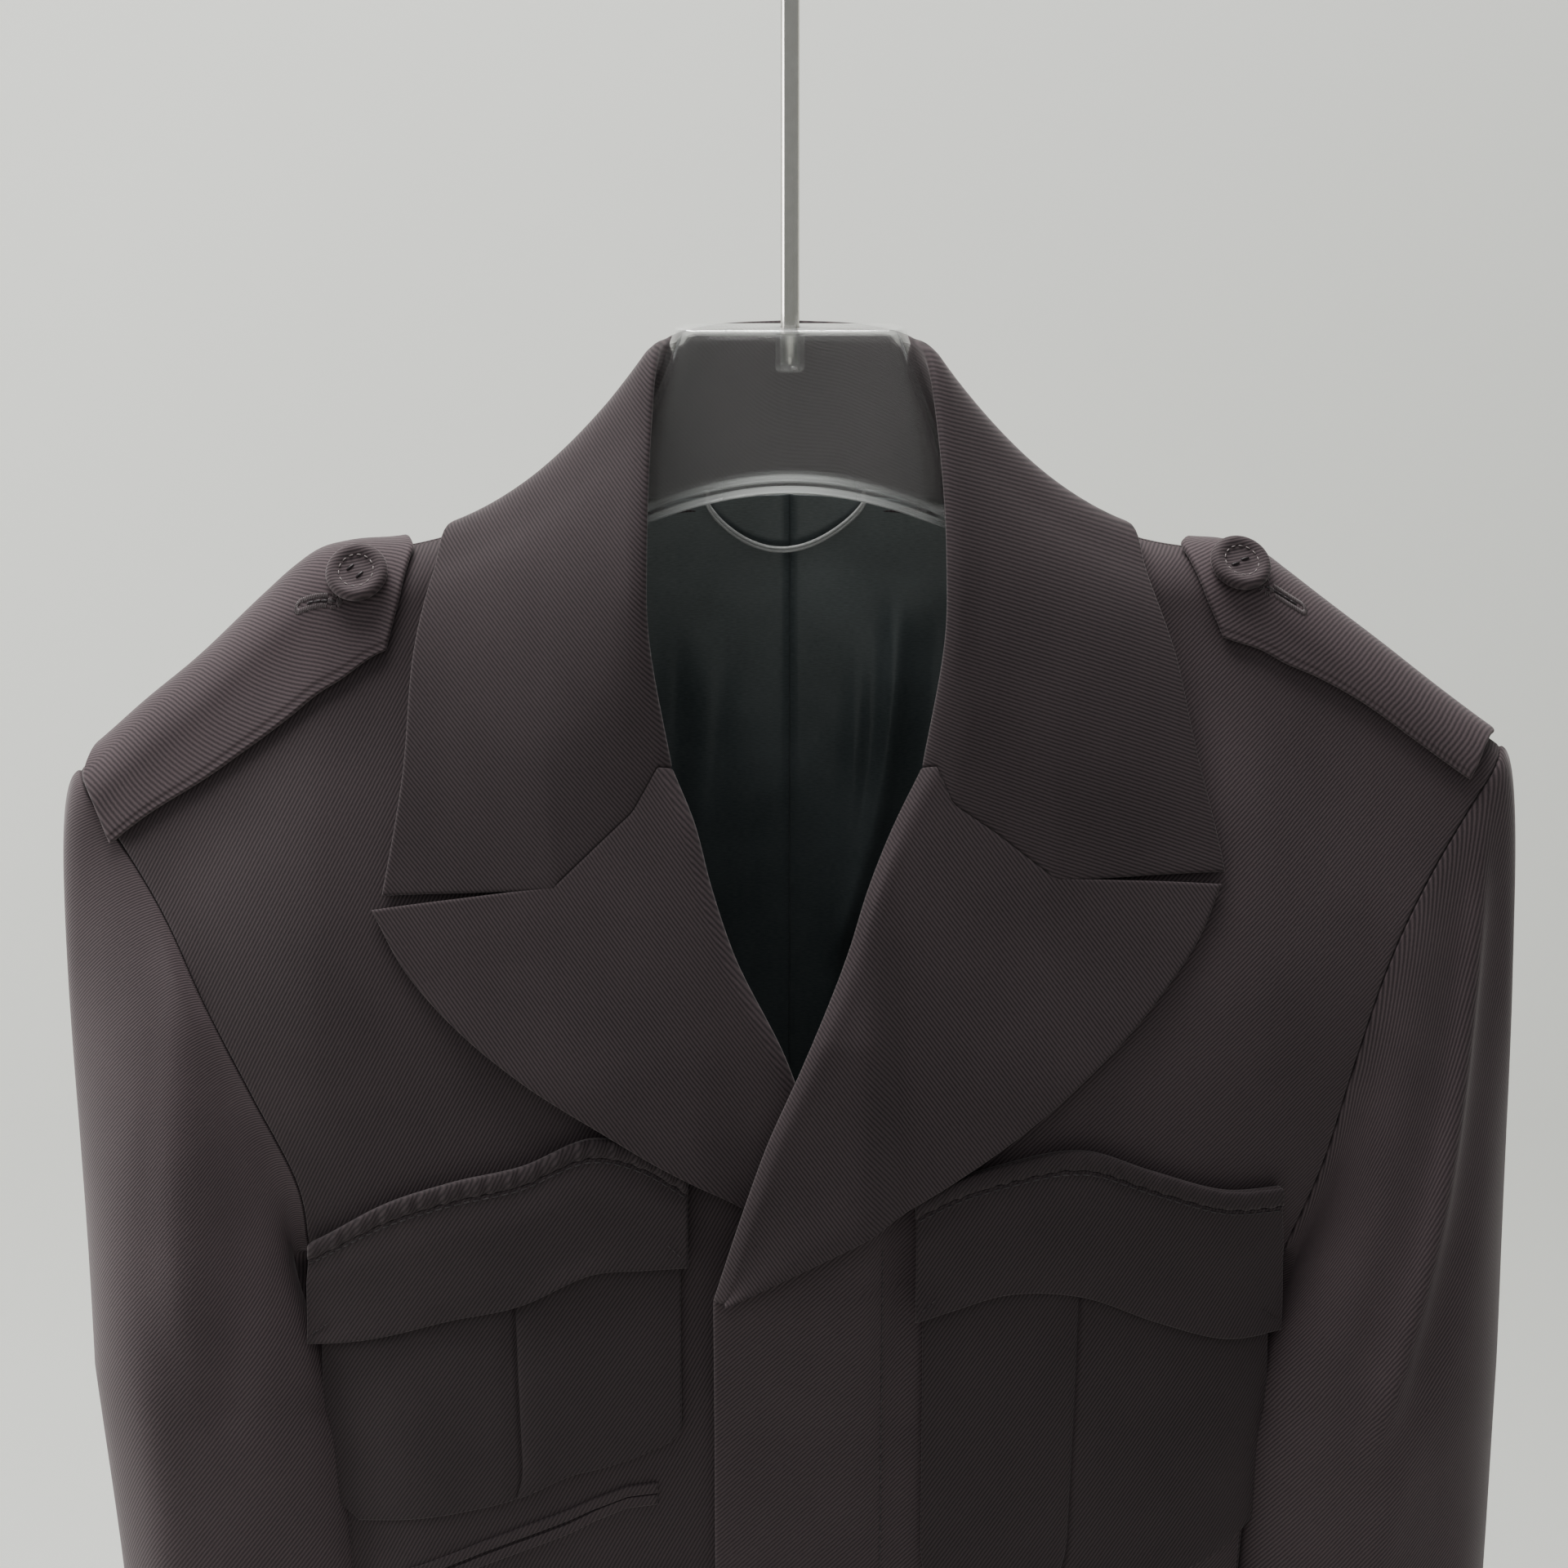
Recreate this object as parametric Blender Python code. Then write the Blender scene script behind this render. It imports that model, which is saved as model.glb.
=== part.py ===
"""A tailored jacket hanging on a clear hanger.

Heights in the tables are in millimetres from the top plate of the hanger, +X is the wearer's left,
and the jacket faces -Y. The part's own origin is where the hook bears on its peg.
"""
import math

import bpy
import numpy as np

MM = 0.001
PLATE_HEIGHT = -175.0
SEAM_TRIM = 0.2
CLOTH = 2.0
COLLAR_CLOTH = 1.8
HEM_HEIGHT = -800.0
ARMPIT_HEIGHT = -292.0

# The crest of the shoulders: distance from the middle, height on the wearer's right and left
RIDGE = np.array([
    (0, -58, -58), (62, -60, -60), (85, -63, -63), (105, -66.5, -66.5), (125, -70, -70), (150, -75.5, -76),
    (175, -96.5, -93.5), (200, -118, -112.5), (222, -137, -130), (232, -146, -138)], float)
# Half the body's thickness: distance below the crest, front and back
DEPTH = np.array([
    (0, 12, 12), (20, 18, 18), (50, 30, 28), (80, 44, 36), (120, 59, 44), (160, 69, 50), (240, 79, 58),
    (340, 82, 60), (440, 79, 57), (600, 84, 63), (800, 90, 70)], float)
CREST_ROUND = 13.0
CREST_ARC = 20.0
# How far the neck stands off the hanger, its half width and its fading length down the chest
NECK_STAND_OFF, NECK_SPREAD, NECK_FADE = 24.0, 65.0, 80.0
# The superellipse that rounds the chest to the sides: height, half width
ROUNDING = np.array([
    (-850, 190), (-500, 184), (-330, 188), (-292, 192), (-270, 210), (-240, 240), (-200, 290),
    (-60, 300)], float)
ROUND_POWER = 2.6
# Side seams: height, distance from the middle on the wearer's right and left
SIDE_SEAM = np.array([
    (-800, 146, 147), (-700, 144, 145), (-600, 142, 143), (-500, 141, 143), (-400, 144, 147),
    (-330, 148, 153), (-292, 155, 160)], float)
SIDE_TUCK, SIDE_LEAN, UNDERARM_DIP = 26.0, 0.5, 26.0
# Armhole seams: share of the way from the armpit to the shoulder tip, height and distance on each side
ARMHOLE = np.array([
    (0, -292, 155, -292, 160), (0.2, -268, 158, -264, 171), (0.4, -240, 172, -229, 181),
    (0.6, -211, 188, -200, 191.5), (0.8, -184, 203, -176, 205), (1.0, -146, 232, -138, 232)], float)
# Roll line of the lapels: height, distance on the wearer's right and left
ROLL = np.array([
    (-298, 24, -24), (-265, 13.5, -13.4), (-247, 7.5, -7), (-221, -1.5, 4.5), (-187, -18.4, 18.5),
    (-168, -24.9, 24.8), (-148, -30.5, 33.5), (-133, -37.1, 41.5)], float)
ROLL_TOP, ROLL_BREAK = -133.0, -298.0
# Outer edge of each lapel: share of the way from the peak to the break, distance, height
LAPEL_EDGE = {
    -1: np.array([
        (0, -132, -178.1), (0.14, -120.2, -197.3), (0.28, -102, -215.3), (0.4, -83.9, -228.4),
        (0.55, -58.3, -243.4), (0.66, -43, -252.3), (0.82, -16, -266.8), (1.0, 20, -293)], float),
    1: np.array([
        (0, 136.1, -170.4), (0.13, 128.1, -187.6), (0.28, 111.1, -209.3), (0.46, 85.4, -233.7),
        (0.65, 54.6, -256.5), (0.76, 34.1, -268.9), (0.88, 8.4, -282.3), (1.0, -20, -297)], float)}
# Gorge seam from the roll line to the notch, then on to the tips: share of the leaf, distance, height
GORGE = {
    -1: np.array([(0, -40, -135), (0.14, -47.9, -148), (0.27, -58.2, -157), (0.42, -72.8, -170)], float),
    1: np.array([(0, 44, -135), (0.14, 49.2, -145.6), (0.27, 63.3, -154.7), (0.42, 81.4, -167.8)], float)}
COLLAR_POINT = {-1: (-128.7, -173.8), 1: (137.2, -166.8)}
# Half the collar, from the middle of the back to the gorge: share, neck seam, fold, outer edge,
# sag of the leaf
COLLAR = np.array([
    (0.00, 0, 34, -64, 0, 34, -5, 0, 51, -84, 0),
    (0.20, 28, 32, -63.5, 25, 32, -5, 45, 49, -86, 1),
    (0.38, 52, 17, -62, 38, 14, -6, 87, 35, -83, 4),
    (0.50, 62, 0, -60, 42, -6, -8, 112, 1, -60, 7),
    (0.62, 62, -16, -72, 43, -24, -30, 117, -18, -74, 6),
    (0.75, 57, -31, -94, 44, -42, -62, 120, -33, -100, 3),
    (0.88, 49, -44, -114, 45, -52, -92, 124, -48, -134, 1),
    (1.00, 40.6, -54, -133, 36, -57, -131, 131, -59, -170, 0)], float)
COLLAR_LEFT_SHIFT, COLLAR_START = 4.0, 3.5
FOLD_RISE, FOLD_RISE_BREAK, FOLD_NOSE = 7.0, 4.2, 3.0
LEAF_LIFT, LEAF_SPRING = 3.4, 4.2
# The wearer's right lapel lies flat from this distance inwards, under the left front
FLAT_FROM, FLAT_RUN = -13.0, 17.0
# How far the wearer's left front is lifted where it laps over the right: height, lift
LAP_LIFT = np.array([
    (-850, 2.8), (-345, 2.8), (-300, 7.6), (-215, 7.6), (-190, 4), (-150, 0), (-60, 0)], float)
LAP_START, LAP_RUN = 36.0, 14.0
# Sleeve rings: height, middle on the wearer's right and left, middle front to back, half width, half depth
SLEEVE = np.array([
    (-345, 190, 194, -4, 44, 61), (-430, 183, 193, -5, 44, 59), (-540, 182, 192, -8, 41, 56),
    (-660, 184, 193, -14, 37, 52), (-778, 188, 195, -21, 33, 48)], float)
SLEEVE_COLUMNS, CAP_ROWS, ARM_ROWS, SLEEVE_POWER = 20, 7, 8, 2.2
UNDER_SLEEVE, SLEEVE_TRIM, ARMHOLE_GAP = (7, 13), 0.6, 1.0


def blend(table, value, column):
    """Reads one column of a table, straight between its rows."""
    return np.interp(value, table[:, 0], table[:, column])


def flowing(table, value):
    """Reads all columns of a table at once, on a smooth curve through its rows."""
    value = np.asarray(value, float)
    keys = table[:, 0]
    data = table[:, 1:]
    slopes = np.gradient(data, keys, axis=0)
    row = np.clip(np.searchsorted(keys, value, side="right") - 1, 0, len(keys) - 2)
    step = (keys[row + 1] - keys[row])[..., None]
    t = (value - keys[row])[..., None] / step
    start = (2 * t**3 - 3 * t**2 + 1) * data[row] + (t**3 - 2 * t**2 + t) * step * slopes[row]
    end = (3 * t**2 - 2 * t**3) * data[row + 1] + (t**3 - t**2) * step * slopes[row + 1]
    return start + end


def ease(value):
    """Goes smoothly from 0 to 1 as the value does, and stays there."""
    value = np.clip(value, 0.0, 1.0)
    return value * value * (3 - 2 * value)


def crest(x):
    """Height of the shoulders' crest at each distance from the middle."""
    side = np.where(x < 0, 0, 1)
    heights = flowing(RIDGE, np.abs(x))
    return np.take_along_axis(heights, side[..., None], axis=-1)[..., 0]


def torso_raw(x, along):
    """The body's surface: along is the way over the crest, forwards below 0 and backwards above it."""
    x, along = np.broadcast_arrays(np.asarray(x, float), np.asarray(along, float))
    way = np.abs(along)
    turn = np.minimum(way / CREST_ARC, 1.0) * math.pi / 2
    drop = CREST_ROUND * (1 - np.cos(turn)) + np.maximum(way - CREST_ARC, 0.0)
    z = crest(x) - drop
    thick = np.where(along < 0, blend(DEPTH, drop, 1), blend(DEPTH, drop, 2))
    thick = thick + NECK_STAND_OFF * np.exp(-(x / NECK_SPREAD) ** 2) * np.exp(-drop / NECK_FADE)
    wide = blend(ROUNDING, z, 1)
    rounding = (1 - np.minimum(np.abs(x) / wide, 0.99) ** ROUND_POWER) ** (1 / ROUND_POWER)
    y = np.sign(along) * thick * rounding * np.sin(turn)
    return np.stack([x, y, z], axis=-1)


def torso(x, along, lift=0.0):
    """Points on the body's surface moved out by a lift, with their outward normals."""
    nudge = 0.5
    point = torso_raw(x, along)
    across = torso_raw(x + nudge, along) - torso_raw(x - nudge, along)
    over = torso_raw(x, along + nudge) - torso_raw(x, along - nudge)
    normal = np.cross(across, over)
    normal /= np.linalg.norm(normal, axis=-1, keepdims=True)
    normal *= np.where(normal[..., 2:3] + np.abs(point[..., 1:2]) * 1e6 * np.sign(
        normal[..., 1:2] * point[..., 1:2]) < 0, -1.0, 1.0)
    return point + normal * np.asarray(lift, float)[..., None], normal


def way_to(x, z, face):
    """How far over the crest a height lies at each distance, on the front (-1) or back (1)."""
    drop = np.maximum(crest(np.asarray(x, float)) - z, 0.0)
    turn = np.arccos(np.clip(1 - drop / CREST_ROUND, 0.0, 1.0))
    way = np.where(drop < CREST_ROUND, turn / (math.pi / 2) * CREST_ARC, CREST_ARC + drop - CREST_ROUND)
    return face * way


def at(x, z, face=-1, lift=0.0):
    """A point of the body's front or back at a distance from the middle and a height."""
    x, z = np.broadcast_arrays(np.asarray(x, float), np.asarray(z, float))
    return torso(x, way_to(x, z, face), lift)


def lap_lift(side, x, z):
    """Lift of a front: only the wearer's left one, near the middle, where it lies over the right one."""
    if side < 0:
        return np.zeros(np.broadcast(x, z).shape)
    return blend(LAP_LIFT, z, 1) * ease((LAP_START - x) / LAP_RUN)


def clear_scene():
    for old in list(bpy.data.objects):
        bpy.data.objects.remove(old, do_unlink=True)


def material(name, colour, roughness, metallic=0.0):
    finish = bpy.data.materials.new(name)
    finish.use_nodes = True
    shader = finish.node_tree.nodes["Principled BSDF"]
    shader.inputs["Base Color"].default_value = (*colour, 1.0)
    shader.inputs["Roughness"].default_value = roughness
    shader.inputs["Metallic"].default_value = metallic
    return finish


def add_solid(name, points, faces, finish):
    """Makes one closed body from points in millimetres, turned so that its faces point out."""
    points = (np.asarray(points, float) + (0, 0, PLATE_HEIGHT)) * MM
    mesh = bpy.data.meshes.new(name)
    mesh.from_pydata(points.tolist(), [], faces)
    volume = 0.0
    for polygon in mesh.polygons:
        corners = points[list(polygon.vertices)]
        for k in range(1, len(corners) - 1):
            volume += np.dot(corners[0], np.cross(corners[k], corners[k + 1]))
    if volume < 0:
        mesh.flip_normals()
    mesh.shade_smooth()
    mesh.set_sharp_from_angle(angle=math.radians(40))
    mesh.materials.append(finish)
    solid = bpy.data.objects.new(name, mesh)
    bpy.context.scene.collection.objects.link(solid)
    return solid


def grid_normals(grid, closed=False):
    """Normals of a grid of points, from the directions along its rows and columns."""
    if closed:
        wrapped = np.concatenate([grid[:, -1:], grid, grid[:, :1]], axis=1)
        across = np.gradient(wrapped, axis=1)[:, 1:-1]
    else:
        across = np.gradient(grid, axis=1)
    normal = np.cross(across, np.gradient(grid, axis=0))
    return normal / np.maximum(np.linalg.norm(normal, axis=-1, keepdims=True), 1e-9)


def trim(grid, rows=(True, True), columns=(True, True), amount=SEAM_TRIM):
    """Draws the chosen edges of a piece in by half the gap at a seam."""
    grid = grid.copy()
    for wanted, edge, inner in ((rows[0], 0, 1), (rows[1], -1, -2)):
        if wanted:
            step = grid[inner] - grid[edge]
            grid[edge] += step / np.linalg.norm(step, axis=-1, keepdims=True) * amount
    for wanted, edge, inner in ((columns[0], 0, 1), (columns[1], -1, -2)):
        if wanted:
            step = grid[:, inner] - grid[:, edge]
            grid[:, edge] += step / np.linalg.norm(step, axis=-1, keepdims=True) * amount
    return grid


def wall(name, grid, normal, thickness, finish, closed=False):
    """A sheet of cloth: the grid moved out and in by half the thickness, and closed along its edges."""
    rows, columns = grid.shape[:2]
    half = np.asarray(thickness, float) / 2
    if half.ndim:
        half = half[..., None]
    outer = (grid + normal * half).reshape(-1, 3)
    inner = (grid - normal * half).reshape(-1, 3)
    count = rows * columns
    spans = columns if closed else columns - 1
    faces = []
    for i in range(rows - 1):
        for j in range(spans):
            a, b = i * columns + j, i * columns + (j + 1) % columns
            c, d = b + columns, a + columns
            faces.append((a, b, c, d))
            faces.append((a + count, d + count, c + count, b + count))
    rims = [[(j, (j + 1) % columns) for j in range(spans)],
            [((rows - 1) * columns + (j + 1) % columns, (rows - 1) * columns + j) for j in range(spans)]]
    if not closed:
        rims.append([((i + 1) * columns, i * columns) for i in range(rows - 1)])
        rims.append([(i * columns + columns - 1, (i + 1) * columns + columns - 1) for i in range(rows - 1)])
    for rim in rims:
        for a, b in rim:
            faces.append((b, a, a + count, b + count))
    return add_solid(name, np.concatenate([outer, inner]), faces, finish)


def rod_mesh(name, path, radius, sides, finish, closed=False):
    """A round bar or cord along a path of points, its ring carried along without twist."""
    path = np.asarray(path, float)
    radius = np.broadcast_to(np.asarray(radius, float), (len(path),))
    if closed:
        direction = np.roll(path, -1, axis=0) - np.roll(path, 1, axis=0)
    else:
        direction = np.gradient(path, axis=0)
    direction /= np.linalg.norm(direction, axis=1, keepdims=True)
    spare = (0, 1, 0) if abs(direction[0][1]) < 0.9 else (1, 0, 0)
    side = np.cross(direction[0], spare)
    points = []
    for k, (centre, way) in enumerate(zip(path, direction)):
        side = side - way * np.dot(side, way)
        side /= np.linalg.norm(side)
        up = np.cross(way, side)
        for j in range(sides):
            angle = 2 * math.pi * j / sides
            points.append(centre + radius[k] * (math.cos(angle) * side + math.sin(angle) * up))
    count = len(path)
    faces = []
    for i in range(count if closed else count - 1):
        for j in range(sides):
            a, b = i * sides + j, i * sides + (j + 1) % sides
            c, d = ((i + 1) % count) * sides + (j + 1) % sides, ((i + 1) % count) * sides + j
            faces.append((a, b, c, d))
    if not closed:
        faces.append(tuple(range(sides))[::-1])
        faces.append(tuple((count - 1) * sides + j for j in range(sides)))
    return add_solid(name, points, faces, finish)


def front_edge(side, share):
    """Inner edge of a front from the armpit's height (0) to the neck point (1): distance and height."""
    neckline = collar_stations(side * np.array([1.0, 0.88, 0.75, 0.62, 0.5]))[0]
    roll_heights = np.concatenate([[ARMPIT_HEIGHT], ROLL[1:-1, 0]])
    rolls = blend(ROLL, roll_heights, 1 if side < 0 else 2) + side * FOLD_NOSE
    xs = np.concatenate([rolls, neckline[:, 0]])
    heights = np.concatenate([roll_heights, neckline[:, 2]])
    length = np.concatenate([[0], np.cumsum(np.hypot(np.diff(xs), np.diff(heights)))])
    keys = length / length[-1]
    return np.interp(share, keys, xs), np.interp(share, keys, heights)


def armhole_edge(side, share):
    """Front or back armhole seam from the armpit (0) to the shoulder tip (1): distance and height."""
    values = flowing(ARMHOLE, share)
    pair = values[..., 0:2] if side < 0 else values[..., 2:4]
    return side * pair[..., 1], pair[..., 0]


def upper_panel(side, face, inner_x, inner_z, share_across, share_up):
    """The part of a front or back above the armpit: a patch worked out from its four edges."""
    u = share_across[None, :]
    v = share_up[:, None]
    outer_x, outer_z = armhole_edge(side, share_up)
    base_x = inner_x[0] + (outer_x[0] - inner_x[0]) * share_across
    base_way = way_to(base_x, inner_z[0] + (outer_z[0] - inner_z[0]) * share_across, face)
    crest_x = inner_x[-1] + (outer_x[-1] - inner_x[-1]) * share_across
    inner_way, outer_way = way_to(inner_x, inner_z, face), way_to(outer_x, outer_z, face)
    top_way = inner_way[-1] + (outer_way[-1] - inner_way[-1]) * share_across

    def patch(left, right, bottom, top):
        corners = (1 - u) * (1 - v) * left[0] + u * (1 - v) * right[0]
        corners = corners + (1 - u) * v * left[-1] + u * v * right[-1]
        return (1 - u) * left[:, None] + u * right[:, None] + (1 - v) * bottom + v * top - corners

    return patch(inner_x, outer_x, base_x, crest_x), patch(inner_way, outer_way, base_way, top_way)


def lower_heights():
    """Heights of the rows from the hem to just under the armpit, the same on every panel."""
    return HEM_HEIGHT + (ARMPIT_HEIGHT - HEM_HEIGHT) * np.linspace(0, 1, SIDE_ROWS)[:-1]


def seam_at(side, heights):
    """Distance of the side seams from the middle at each height."""
    return side * blend(SIDE_SEAM, heights, 1 if side < 0 else 2)


# Columns across a front, closer where the left one steps up over the right
FRONT_COLUMNS = np.array([0, 0.05, 0.1, 0.15, 0.2, 0.24, 0.28, 0.33, 0.4, 0.53, 0.68, 0.84, 1.0])
# Rows of a back up to its neck seam, and where along its inner edge that seam starts
BACK_ROWS, NECK_ROW = np.array([0, 0.2, 0.4, 0.6, 0.76, 0.87, 0.94, 1.0]), 0.84
SIDE_ROWS, SIDE_COLUMNS = 14, 8


def make_front(side, finish):
    """One front, from its inner edge and the V to the side seam, the armhole and the shoulder."""
    across = FRONT_COLUMNS
    heights = lower_heights()
    seam_x = seam_at(side, heights)
    edge_x = blend(ROLL, ROLL_BREAK, 1 if side < 0 else 2)
    lower_x = edge_x + (seam_x - edge_x)[:, None] * across
    lower_way = way_to(lower_x, heights[:, None] + 0 * lower_x, -1)
    up = np.concatenate([np.linspace(0, 0.86, 13), [0.92, 0.97, 1.0]])
    inner_x, inner_z = front_edge(side, up)
    upper_x, upper_way = upper_panel(side, -1, inner_x, inner_z, across, up)
    x = np.concatenate([lower_x, upper_x])
    way = np.concatenate([lower_way, upper_way])
    height = torso_raw(x, way)[..., 2]
    grid, normal = torso(x, way, lap_lift(side, x, height))
    name = "front_left" if side > 0 else "front_right"
    return wall(name, trim(grid, (False, True), (True, True)), normal, CLOTH, finish)


def make_back(side, finish):
    """One back, from the centre-back seam to the side seam, the armhole and the shoulder."""
    across = np.linspace(0, 1, 9)
    heights = lower_heights()
    seam_x = seam_at(side, heights)
    lower_x = seam_x[:, None] * across
    lower_way = way_to(lower_x, heights[:, None] + 0 * lower_x, 1)
    up = np.concatenate([BACK_ROWS * NECK_ROW, np.linspace(NECK_ROW, 1, 6)[1:]])
    neck = collar_stations(side * np.linspace(0.0001, 0.5, 6))[0]
    neck[0, 0] = 0.0
    inner_x = np.concatenate([0 * BACK_ROWS[:-1], neck[:, 0]])
    inner_z = np.concatenate([ARMPIT_HEIGHT + (neck[0, 2] - ARMPIT_HEIGHT) * BACK_ROWS[:-1], neck[:, 2]])
    upper_x, upper_way = upper_panel(side, 1, inner_x, inner_z, across, up)
    x = np.concatenate([lower_x, upper_x])
    way = np.concatenate([lower_way, upper_way])
    grid, normal = torso(x, way)
    name = "back_left" if side > 0 else "back_right"
    return wall(name, trim(grid, (False, True), (True, True)), normal, CLOTH, finish)


def sideways(side, normal):
    """Level direction along the cloth, away from the middle."""
    way = np.cross((0, 0, 1.0), normal)
    way /= np.linalg.norm(way, axis=-1, keepdims=True)
    return way * np.sign(way[..., 0:1] * side)


def side_grid(side):
    """Side panel: it leaves front and back in their own directions, tucked in under the sleeve."""
    rows, columns = SIDE_ROWS, SIDE_COLUMNS
    share = np.linspace(0, 1, columns)
    top = ARMPIT_HEIGHT - UNDERARM_DIP * np.sin(math.pi * share)
    height = HEM_HEIGHT + (top - HEM_HEIGHT) * np.linspace(0, 1, rows)[:, None]
    points = np.zeros((rows, columns, 3))
    normals = np.zeros((rows, columns, 3))
    for j, u in enumerate(share):
        seam_x = seam_at(side, height[:, j])
        ahead, ahead_normal = at(seam_x, height[:, j], -1)
        behind, behind_normal = at(seam_x, height[:, j], 1)
        reach = (behind - ahead)[:, 1:2] * SIDE_LEAN
        start, end = sideways(side, ahead_normal) * reach, -sideways(side, behind_normal) * reach
        point = ((2 * u**3 - 3 * u**2 + 1) * ahead + (u**3 - 2 * u**2 + u) * start
                 + (3 * u**2 - 2 * u**3) * behind + (u**3 - u**2) * end)
        point[:, 0] -= side * SIDE_TUCK * abs(math.sin(math.pi * u)) ** 1.3
        points[:, j] = point
        if j == 0:
            normals[:, j] = ahead_normal
        if j == columns - 1:
            normals[:, j] = behind_normal
    inner = grid_normals(points) * np.sign(side * grid_normals(points)[rows // 2, columns // 2, 0])
    normals[:, 1:-1] = inner[:, 1:-1]
    return points, normals


def make_side(side, finish):
    points, normals = side_grid(side)
    name = "side_left" if side > 0 else "side_right"
    return wall(name, trim(points, (False, True), (True, True)), normals, CLOTH, finish)


def armhole_loop(side):
    """The armhole as a closed ring of points, from the shoulder tip down the front and up the back."""
    share = np.linspace(1, 0, 16)
    x, z = armhole_edge(side, share)
    ahead, ahead_normal = at(x, z, -1)
    behind, behind_normal = at(x, z, 1)
    under, under_normals = side_grid(side)
    ring = np.concatenate([ahead, under[-1, 1:-1], behind[::-1][:-1]])
    normal = np.concatenate([ahead_normal, under_normals[-1, 1:-1], behind_normal[::-1][:-1]])
    along = np.roll(ring, -1, axis=0) - np.roll(ring, 1, axis=0)
    leave = np.cross(along, normal)
    leave /= np.linalg.norm(leave, axis=1, keepdims=True)
    leave *= np.where(leave[2:3, 0:1] * side < 0, -1.0, 1.0)
    step = np.linalg.norm(np.roll(ring, -1, axis=0) - ring, axis=1)
    length = np.concatenate([[0], np.cumsum(step)])
    wanted = np.arange(SLEEVE_COLUMNS) / SLEEVE_COLUMNS * length[-1]

    def spread(values):
        closed = np.concatenate([values, values[:1]])
        return np.stack([np.interp(wanted, length, closed[:, k]) for k in range(3)], axis=-1)

    return spread(ring), spread(normal), spread(leave)


def sleeve_ring(side, height):
    """One level ring of a sleeve: outer side first, then the front, the body's side and the back."""
    values = flowing(SLEEVE[::-1], height)
    middle = side * (values[..., 0] if side < 0 else values[..., 1])
    angle = 2 * math.pi * np.arange(SLEEVE_COLUMNS) / SLEEVE_COLUMNS
    across, ahead = np.cos(angle), np.sin(angle)
    x = middle + side * values[..., 3] * np.sign(across) * np.abs(across) ** (2 / SLEEVE_POWER)
    y = values[..., 2] - values[..., 4] * np.sign(ahead) * np.abs(ahead) ** (2 / SLEEVE_POWER)
    return np.stack([x, y, np.full(SLEEVE_COLUMNS, height)], axis=-1)


def sleeve_grid(side):
    """A whole sleeve as rows of rings: the cap leaves the armhole and bends down into the arm."""
    ring, ring_normal, leave = armhole_loop(side)
    ring = ring + leave * ARMHOLE_GAP
    target = sleeve_ring(side, SLEEVE[0, 0])
    reach = np.linalg.norm(target - ring, axis=1, keepdims=True)
    start_pull = np.minimum(18.0, 0.45 * reach)
    end_pull = np.minimum(0.4 * reach, 60.0)
    first, second = ring + leave * start_pull, target + np.array([0, 0, 1.0]) * end_pull
    rows = []
    for t in np.linspace(0, 1, CAP_ROWS, endpoint=False) ** 1.3:
        start = (1 - t) ** 3 * ring + 3 * (1 - t) ** 2 * t * first
        rows.append(start + 3 * (1 - t) * t**2 * second + t**3 * target)
    for height in np.linspace(SLEEVE[0, 0], SLEEVE[-1, 0], ARM_ROWS):
        rows.append(sleeve_ring(side, height))
    grid = np.array(rows)
    normal = grid_normals(grid, closed=True)
    normal *= np.sign(normal[-1, 0, 0] * side)
    normal[0] = ring_normal
    return grid, normal


def make_sleeves(side, finish):
    grid, normal = sleeve_grid(side)
    start, end = UNDER_SLEEVE
    under = np.arange(start, end + 1)
    upper = np.arange(end, start + SLEEVE_COLUMNS + 1) % SLEEVE_COLUMNS
    mark = "left" if side > 0 else "right"
    for name, columns in (("sleeve_upper_" + mark, upper), ("sleeve_under_" + mark, under)):
        piece = trim(grid[:, columns], (False, False), (True, True), SLEEVE_TRIM)
        wall(name, piece, normal[:, columns], CLOTH, finish)


def fold_turn(start, apex, end, count):
    """The turn of a fold: a cubic curve that leaves both layers towards the fold's apex."""
    t = np.linspace(0, 1, count)[:, None, None]
    first, second = start + (apex - start) * 0.72, end + (apex - end) * 0.72
    return (1 - t) ** 3 * start + 3 * (1 - t) ** 2 * t * first + 3 * (1 - t) * t**2 * second + t**3 * end


LEAF_SHARES = np.array([0.1, 0.2, 0.3, 0.42, 0.56, 0.7, 0.85, 1.0])


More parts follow.
